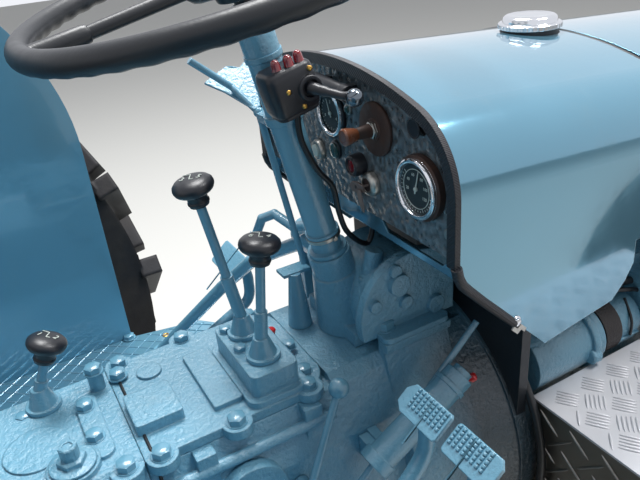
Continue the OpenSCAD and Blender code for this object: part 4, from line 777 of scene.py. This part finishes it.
bolts.repeats(boltPaint, "frame_bolts", frameBolts)
wheelNuts = {  # X, Y of the nuts' seat, Z, ring, count, size
    "rear": (0, 631, 628, 104, 8, 12), "front": (1830, 631, 350, 70, 5, 9)}
for where, (x, y, z, ring, count, size) in wheelNuts.items():
    for side, word in ((1, "left"), (-1, "right")):
        spots = []
        for k in range(count):
            a = 360 * (k + 0.5) / count
            out, rise = polar(ring, a)
            spots.append(((x + out, side * y, z + rise), (0, side, 0), a, (size, size, size)))
        bolts.repeats(dullSteel, f"wheel_nuts_{where}_{word}", spots, f"wheel_{where}_{word}")
print("bolts set")

# filler tube with its hollow hex, plug of the steering box, grease caps, cable tie, screw and gasket
smallTurned = [  # finish, place, sides, profile
    (castPaint, (374, -58, 800), 40, [(7, 0), (7, 24), (9, 24), (10, 22), (10, 0)]),
    (castPaint, (374, -58, 810), 6, [(0, 0), (0, 15), (5, 15), (6, 13), (6, 0)]),
    (castPaint, (374, -58, 816), 6, [(0, 0), (0, 9), (2, 9.6), (14, 9.6), (15, 8.6), (15, 5.4), (8, 5.2),
                                     (8, 0)]),
    (castPaint, (748, -40, 876), 6, [(0, 0), (0, 13), (5, 13), (7, 11.5), (7, 6), (1, 6), (1, 0)]),
    (brass, (580, 410, 602), 20, [(-0.4, 0), (-0.4, 6), (1.0, 6), (1.4, 4.6), (0.8, 2.6), (0.8, 0)])]
greaseCaps = [((635, 20, 807), (0.2, -0.3, 1)), ((802, -160, 776), (0.7, -0.5, 0.5))]  # place, lean
gasketLine = [(448, 88, 780), (448, 86, 795), (448, 78, 800.4), (448, -78, 800.4), (448, -86, 795),
              (448, -104, 768), (448, -122, 730)]
small = Form(castPaint)
for finish, place, sides, profile in smallTurned:
    small.use(finish).lathe(shift(*place), profile, sides)
small.use(redPlastic)
for place, lean in greaseCaps:
    small.lathe(facing(place, lean), [(0, 0), (0, 3.4), (5, 3.4), (5.6, 5.6), (11, 5.2), (12.6, 3.4),
                                      (13, 0)], 18)
tie = onColumn(108)
small.use(dullSteel).lathe(tie, [(-2.2, 20.2), (-2.2, 21.4), (2.2, 21.4), (2.2, 20.2)], 48, closed=True)
small.block(tie @ shift(4, -22.5, -2.2), (5, 3.6, 4.4))
small.use(hoseRubber).tube(gasketLine, 1.9, 8)
small.done("small_fittings", smooth=30)
handPlate = Form(forgedPaint)  # pointed plate at the head of the throttle rod
plateEdge = [(627.6, 92, 1117.7), (630, 91.6, 1119), (658, 95, 1131), (663, 90, 1130.4), (670, 85, 1129),
             (681, 88, 1135.5), (678, 69, 1122), (673, 47, 1106.5), (667, 30, 1096), (659, 30, 1093),
             (642, 69, 1109)]
halfThick = Vector((-0.3, -0.5, 0.8)).normalized() * 1.6
handPlate.skin([[Vector(p) - halfThick for p in plateEdge], [Vector(p) + halfThick for p in plateEdge]])
handPlate.done("throttle_plate", bevel=1.0)
print("fittings made")

# rubber edging: on down the cowl's rear edge from the dashboard, and round the bonnet's seam
cowlEdge = {
    "out": 210.5, "radii": [5.6, 5.6, 5.4, 5.2, 5.0, 5.0, 4.6],
    "line": [(741.5, 973), (744, 962), (749, 952), (757, 943), (777, 922), (800, 899), (821, 878)]}
edging = Form(trimRubber)
for side in (-1, 1):
    edging.tube([(x, side * cowlEdge["out"], z) for x, z in cowlEdge["line"]], cowlEdge["radii"], 14)
edging.done("cowl_edge_rubber")
seamLine = {"x": 1072, "halfWide": 206.5, "top": 1137.5, "shoulder": 77.5, "crown": 491.5, "bottom": 945,
            "radius": 3.6, "slope": 3.6, "pivot": (745, 0, 1140)}


def archPoints(w, top, shoulder, crown, bottom, steps=14):  # outline of the cowl's section, right to left
    crownZ = top - crown
    cornerZ = crownZ + math.sqrt((crown - shoulder) ** 2 - (w - shoulder) ** 2)
    meet = math.degrees(math.atan2(w - shoulder, cornerZ - crownZ))  # where shoulder and crown join
    half = [(w, bottom + (cornerZ - bottom) * k / 4) for k in range(4)]
    for middleY, middleZ, radius, start, end in ((w - shoulder, cornerZ, shoulder, 90, meet),
                                                 (0, crownZ, crown, meet, 0)):
        for k in range(steps):
            rise, out = polar(radius, start + (end - start) * k / steps)
            half.append((middleY + out, middleZ + rise))
    return [(-y, z) for y, z in half] + [(0, top)] + [(y, z) for y, z in reversed(half)]


pivot = Vector(seamLine["pivot"])
sloped = Matrix.Translation(pivot) @ spin(seamLine["slope"], "Y") @ Matrix.Translation(-pivot)
seamArch = archPoints(*(seamLine[word] for word in ("halfWide", "top", "shoulder", "crown", "bottom")))
seam = Form(hoseRubber)
seam.tube([sloped @ Vector((seamLine["x"], y, z)) for y, z in seamArch], seamLine["radius"], 8)
seam.done("bonnet_seam_rubber")

# engine: rubber round the clutch bell, taped barrel of the starter and the hoses over it
starterAxis = {"y": -135, "z": 738}
engineHoses = [  # radius, points
    (5.5, [(1046, -128, 786), (1075, -138, 792), (1106, -140, 790), (1130, -136, 782), (1160, -120, 772)]),
    (3.2, [(1050, -120, 784), (1085, -146, 786), (1118, -152, 776), (1134, -152, 756), (1140, -150, 738)]),
    (2.0, [(1092, -150, 772), (1082, -172, 752), (1084, -172, 728), (1100, -160, 716)])]
hoses = Form(hoseRubber)
bell = {"x": 884, "up": 620, "radius": 212, "start": 28, "turn": 96, "steps": 30, "thick": 5.5}
bellRim = [polar(bell["radius"], bell["start"] + bell["turn"] * k / bell["steps"])
           for k in range(bell["steps"] + 1)]
hoses.tube([(bell["x"], -out, bell["up"] + rise) for rise, out in bellRim], bell["thick"])
for radius, path in engineHoses:
    hoses.tube(curved(path), radius, 10)
hoses.use(tapeBlack).lathe(facing((0, starterAxis["y"], starterAxis["z"]), (1, 0, 0)), [
    (1028, 44), (1030, 40.4), (1062, 40.4), (1064, 37), (1062, 36.5), (1030, 36.5)], 40, closed=True)
hoses.done("engine_hoses")
starter = Form(castPaint)
starter.lathe(facing((1003, starterAxis["y"], starterAxis["z"]), (1, 0, 0)), [
    (0, 42), (0, 46), (2, 47.5), (9, 47.5), (11, 46), (11, 42)], 48, closed=True)
starter.lathe(facing((1003, -176, 730), (-1, 0, 0)), [(-8, 0), (-8, 11), (4, 11), (6, 9), (6, 0)], 24)
for a in range(200, 361, 20):
    out, rise = polar(37, a)
    starter.block(facing((1026, starterAxis["y"] + out, starterAxis["z"] + rise), (1, 0, 0), a), (6, 2.4, 76))
starter.done("starter_ribs")
clips = Form(chrome)
clipHook = [(816, 872), (824, 864), (829, 868), (834, 863), (837, 867), (829, 875), (824, 871), (819, 876)]
for side in (-1, 1):
    clips.lathe(facing((824, side * 209, 879), (0, side, 0)), [
        (0, 0), (0, 6.4), (1.4, 6.4), (1.4, 4.6), (4.6, 4.4), (5.4, 2.6), (5.6, 0)], 18)
    clips.use(dullSteel).prism(shift(0, side * 212.5, 0) @ spin(90, "X"), clipHook, -1, 1)
clips.done("cowl_clips")
print("rubber, hoses and clips made")


def turnOn(normal, ahead):  # turn about a normal that brings a seed's x along a direction
    base = Vector(normal).to_track_quat("Z", "Y")
    return math.degrees(math.atan2(ahead.dot(base @ Vector((0, 1, 0))), ahead.dot(base @ Vector((1, 0, 0)))))


# chequered aluminium of the battery box: groups of five raised bars, turned by turns
chequer = {"bar": (29.0, 3.5, 2.2), "gap": 5.2, "lattice": 46.0, "start": (8, 5), "clear": 3,
           "turns": ((0, 46), (0.5, -54))}
battery = {"corner": Vector((895, -418, 487)), "long": 400, "wide": 240, "high": 228, "lidUp": 230}
bars = Growth("barTree", long=0.5, wide=0.5, high=1.0)
pip = bars.node("GeometryNodeMeshUVSphere", inputs={"Segments": 10, "Rings": 5, "Radius": 1.0})
bars.close(bars.stretched(pip))


def chequerOver(origin, across, along, normal, wide, deep):  # bars over a plate with one corner at origin
    spots = []
    long, lattice, gap = chequer["bar"][0], chequer["lattice"], chequer["gap"]
    for i in range(-1, int(wide / lattice) + 2):
        for j in range(-1, int(deep / lattice) + 2):
            for half, turn in chequer["turns"]:
                alongU, alongV = polar(1, turn)
                reachU, reachV = (abs(share) * long / 2 + chequer["clear"] for share in (alongU, alongV))
                for k in range(-2, 3):
                    u = (i + half) * lattice + chequer["start"][0] - alongV * k * gap
                    v = (j + half) * lattice + chequer["start"][1] + alongU * k * gap
                    if reachU < u < wide - reachU and reachV < v < deep - reachV:
                        spots.append((origin + across * u + along * v, normal,
                                      turnOn(normal, across * alongU + along * alongV), chequer["bar"]))
    return spots


ahead, left, upright = Vector((1, 0, 0)), Vector((0, 1, 0)), Vector(upward)
corner, lidCorner = battery["corner"], battery["corner"] + upright * battery["lidUp"]
# bars on the lid in its painted-light copy, bars on the sides in a lighter copy as painted highlight
bars.repeats(litLidSheet, "battery_chequer_top",
             chequerOver(lidCorner, ahead, left, upward, battery["long"], battery["wide"]))
bars.repeats(litBarSheet, "battery_chequer_sides", [
    *chequerOver(corner, left, upright, (-1, 0, 0), battery["wide"], battery["high"]),
    *chequerOver(corner, ahead, upright, (0, -1, 0), battery["long"], battery["high"]),
    *chequerOver(corner + ahead * battery["long"], left, upright, (1, 0, 0), battery["wide"],
                 battery["high"])])

# footplates: thin crossed ridges inside the plate's outline
footplate = {"middle": (420, 310), "top": 602.2, "step": 20, "angles": (41, -41), "ridge": (2.6, 3.0),
             "shortest": 12, "outline": [(134, 158), (134, 479), (518, 441), (647, 414), (684, 373),
                                         (696, 338), (696, 158)]}
ridges = Growth("ridgeTree", long=1.0, wide=1.0, high=1.0)
strip = ridges.node("GeometryNodeMeshCylinder", inputs={"Vertices": 6, "Radius": 0.5, "Depth": 1.0})
ridges.close(ridges.stretched(ridges.node("GeometryNodeTransform", inputs={
    "Geometry": strip, "Rotation": (0, math.pi / 2, 0)})))


def stretchInside(point, direction, area):  # part of a line within a convex outline that runs clockwise
    start, end = -math.inf, math.inf
    for (ax, ay), (bx, by) in zip(area, area[1:] + area[:1]):
        edgeX, edgeY = bx - ax, by - ay
        rate = edgeX * direction[1] - edgeY * direction[0]
        offset = edgeX * (point[1] - ay) - edgeY * (point[0] - ax)
        if rate < 0:
            start = max(start, -offset / rate)
        elif rate > 0:
            end = min(end, -offset / rate)
    return start, end


ridgeSpots = []
for angle in footplate["angles"]:
    direction = polar(1, angle)
    for k in range(-40, 41):
        offset = k * footplate["step"]
        point = (footplate["middle"][0] - direction[1] * offset,
                 footplate["middle"][1] + direction[0] * offset)
        start, end = stretchInside(point, direction, footplate["outline"])
        if end - start < footplate["shortest"]:
            continue
        x, y = (p + d * (start + end) / 2 for p, d in zip(point, direction))
        ridgeSpots += [((x, side * y, footplate["top"]), upward, side * angle,
                        (end - start, *footplate["ridge"]))
                       for side in (1, -1)]
ridges.repeats(sheetPaint, "footplate_ridges", ridgeSpots)

# pedals: bent arms from their bosses to leaning pads with studs and ribs
pedal = {"shaft": (570, 645), "lean": -40, "arm": 9, "padBack": 19, "padBottom": 2.5, "padTop": 8}
brakePads = {"x": 684, "z": 820}
clutchPad = {"x": 695, "z": 755}
pedalRows = [  # arm Y, pad, outline as (Y, up the pad)
    (-226, brakePads, [(-200, 21), (-200, 37), (-208, 46), (-260, 46), (-263, 43), (-263, 17), (-260, 14),
                       (-210, 14)]),
    (-300, brakePads, [(-272, 17), (-272, 43), (-275, 46), (-327, 46), (-333, 39), (-333, 21), (-328, 14),
                       (-275, 14)]),
    (262, clutchPad, [(248, 3), (248, 41), (252, 44), (338, 44), (342, 41), (342, 3), (338, 0), (252, 0)])]
padLean = spin(pedal["lean"], "Y")
padNormal = tuple(padLean @ upright)
padTurn = turnOn(padNormal, padLean @ ahead)


def padFrame(pad):  # x up the pad, y to the left, z out of its face
    return shift(pad["x"] - pedal["padBack"], 0, pad["z"]) @ padLean


pedals = Form(forgedPaint)
shaftX, shaftZ = pedal["shaft"]
for armY, pad, outline in pedalRows:
    pedals.prism(padFrame(pad), [(up, y) for y, up in outline], pedal["padBottom"], pedal["padTop"])
    neck = padFrame(pad) @ Vector((28, 0, -5))
    elbow = pad["z"] - 44
    slope = (pad["z"] - 685) / (pad["x"] - shaftX)
    arm = curved([(neck.x, armY, neck.z), (neck.x + 3, armY, neck.z - 22), (pad["x"] + 2, armY, elbow),
                  (pad["x"] - 40, armY, elbow - 40 * slope), (shaftX, armY, shaftZ)], 7)
    pedals.tube(arm, pedal["arm"], 16)
    pedals.lathe(facing((shaftX, armY - 14, shaftZ), (0, 1, 0)), [
        (0, 16.4), (0, 24), (1.5, 25), (26.5, 25), (28, 24), (28, 16.4)], 36, closed=True)
pedals.done("pedal_arms", "root", ["pedals"], "paint_blue", bevel=0.8)


def onPad(pad, y, up):
    return padFrame(pad) @ Vector((up, y, pedal["padTop"]))


studs = Growth("studTree", top=0.66, rise=1.0)
stud = studs.node("GeometryNodeMeshCone", inputs={
    "Vertices": 4, "Radius Top": studs.size("top"), "Radius Bottom": 1.0, "Depth": studs.size("rise")})
studs.close(studs.node("GeometryNodeTransform", inputs={"Geometry": stud, "Rotation": (0, 0, math.pi / 4)}))
studRows, ribRows = (26, 30.4, 34.8, 39.2, 43.4), (16.4, 19.4, 22.4)  # heights up the brake pads
padStuds = []
padRibs = [(onPad(clutchPad, 295, up), padNormal, padTurn + 90, (86, 3, 2.6)) for up in range(4, 40, 5)]
for first, last in ((-258, -216), (-318, -276)):  # right and left edge of the field of studs
    padStuds += [(onPad(brakePads, first + (last - first) * k / 7, up), padNormal, padTurn, (2.9, 2.9, 1.8))
                 for k in range(8) for up in studRows]
    padRibs += [(onPad(brakePads, (first + last) / 2, up), padNormal, padTurn + 90,
                 (last - first + 5, 2.2, 3.2))
                for up in ribRows]
studs.repeats(forgedPaint, "pedal_studs", padStuds)
ridges.repeats(forgedPaint, "pedal_ribs", padRibs)
print("chequer plate, footplates and pads made")

# fuel cap with a knurled skirt
fuelCap = {"x": 1036, "seat": 1125.7, "knurls": 36, "knurlRing": 38.6}
cap = Form(chrome)
cap.lathe(shift(fuelCap["x"], 0, fuelCap["seat"]), [
    (0, 0), (0, 37), (1, 39), (6, 39), (7.4, 37.6), (8, 34), (12, 33.6), (14, 32.4), (15.6, 30), (16.4, 26),
    (15.8, 22), (16.2, 12), (16.6, 0)], 64)
for k in range(fuelCap["knurls"]):
    x, y = polar(fuelCap["knurlRing"], 360 * k / fuelCap["knurls"])
    cap.lathe(shift(fuelCap["x"] + x, y, fuelCap["seat"] + 1), [(0, 0), (0, 1.1), (5, 1.1), (5, 0)], 6)
cap.done("fuel_cap_top", "root", ["fuel_cap"], "chrome")

# lamps: chrome ring, bright reflector and glass in front, red lenses behind
lamps = {"front": (1810, 300, 878), "rear": (-590, 379, 1048)}
lampRings, lampGlasses, rearLenses = Form(chrome), Form(clearGlass), Form(redLamp)
for side in (-1, 1):
    (frontX, frontY, frontZ), (rearX, rearY, rearZ) = lamps["front"], lamps["rear"]
    front = facing((frontX, side * frontY, frontZ), (1, 0, 0))
    lampRings.lathe(front, [
        (74, 76), (76, 79.4), (88, 79.4), (92, 75), (93, 70), (90, 68.4), (84, 70), (74, 74)], 56,
        closed=True)
    lampRings.lathe(front, [(86, 0), (86, 68), (88.8, 68), (93.8, 38), (95.8, 0)], 48)
    lampGlasses.lathe(front, [(90, 0), (90, 68), (92, 66), (96.5, 40), (98, 0)], 48)
    rearLenses.lathe(facing((rearX, side * rearY, rearZ), (-1, 0, 0)), [
        (0, 0), (0, 30), (3, 29), (6, 24), (8, 12), (8.4, 0)], 36)
lampRings.done("headlamp_rings")
lampGlasses.done("headlamp_glasses")
rearLenses.done("rear_lamp_lenses")
print("cap and lamps made")

# floor, backdrop and lights
studio = {"floorHalf": 14.0, "floorShade": tone(214, 214, 210), "worldOnObject": 0.38, "worldSeen": 0.95,
          "worldTint": (0.93, 0.95, 1.0, 1), "boxWide": 1.4, "boxAim": Vector((0, 0, 0.8))}
softBoxes = {  # place, power
    "keyLight": ((2.0, -0.8, 4.6), 150), "sideLight": ((0.3, 1.3, 4.4), 170)}
half = studio["floorHalf"]
floorMesh = bpy.data.meshes.new("floor")
floorMesh.from_pydata([(-half, -half, 0), (half, -half, 0), (half, half, 0), (-half, half, 0)], [],
                      [(0, 1, 2, 3)])
floorFinish = Finish("floorFinish")
floorFinish.set(Base_Color=studio["floorShade"], Roughness=0.9)
floorMesh.materials.append(floorFinish.material)
added("floor", floorMesh)

scene.world = bpy.data.worlds.new("world")
scene.world.use_nodes = True
sky = scene.world.node_tree
rays = sky.nodes.new("ShaderNodeLightPath")
seen = sky.nodes.new("ShaderNodeMath")
seen.operation = "MAXIMUM"
level = sky.nodes.new("ShaderNodeMapRange")
level.inputs["To Min"].default_value = studio["worldOnObject"]
level.inputs["To Max"].default_value = studio["worldSeen"]
back = sky.nodes["Background"]
back.inputs["Color"].default_value = studio["worldTint"]
for source, target in ((rays.outputs["Is Camera Ray"], seen.inputs[0]),
                       (rays.outputs["Is Glossy Ray"], seen.inputs[1]),
                       (seen.outputs[0], level.inputs["Value"]), (level.outputs[0], back.inputs["Strength"])):
    sky.links.new(source, target)
for name, (place, power) in softBoxes.items():
    light = bpy.data.lights.new(name, "AREA")
    light.size = studio["boxWide"]
    light.energy = power
    lamp = added(name, light)
    lamp.location = place
    lamp.rotation_euler = (studio["boxAim"] - Vector(place)).to_track_quat("-Z", "Y").to_euler()
print("studio lit")
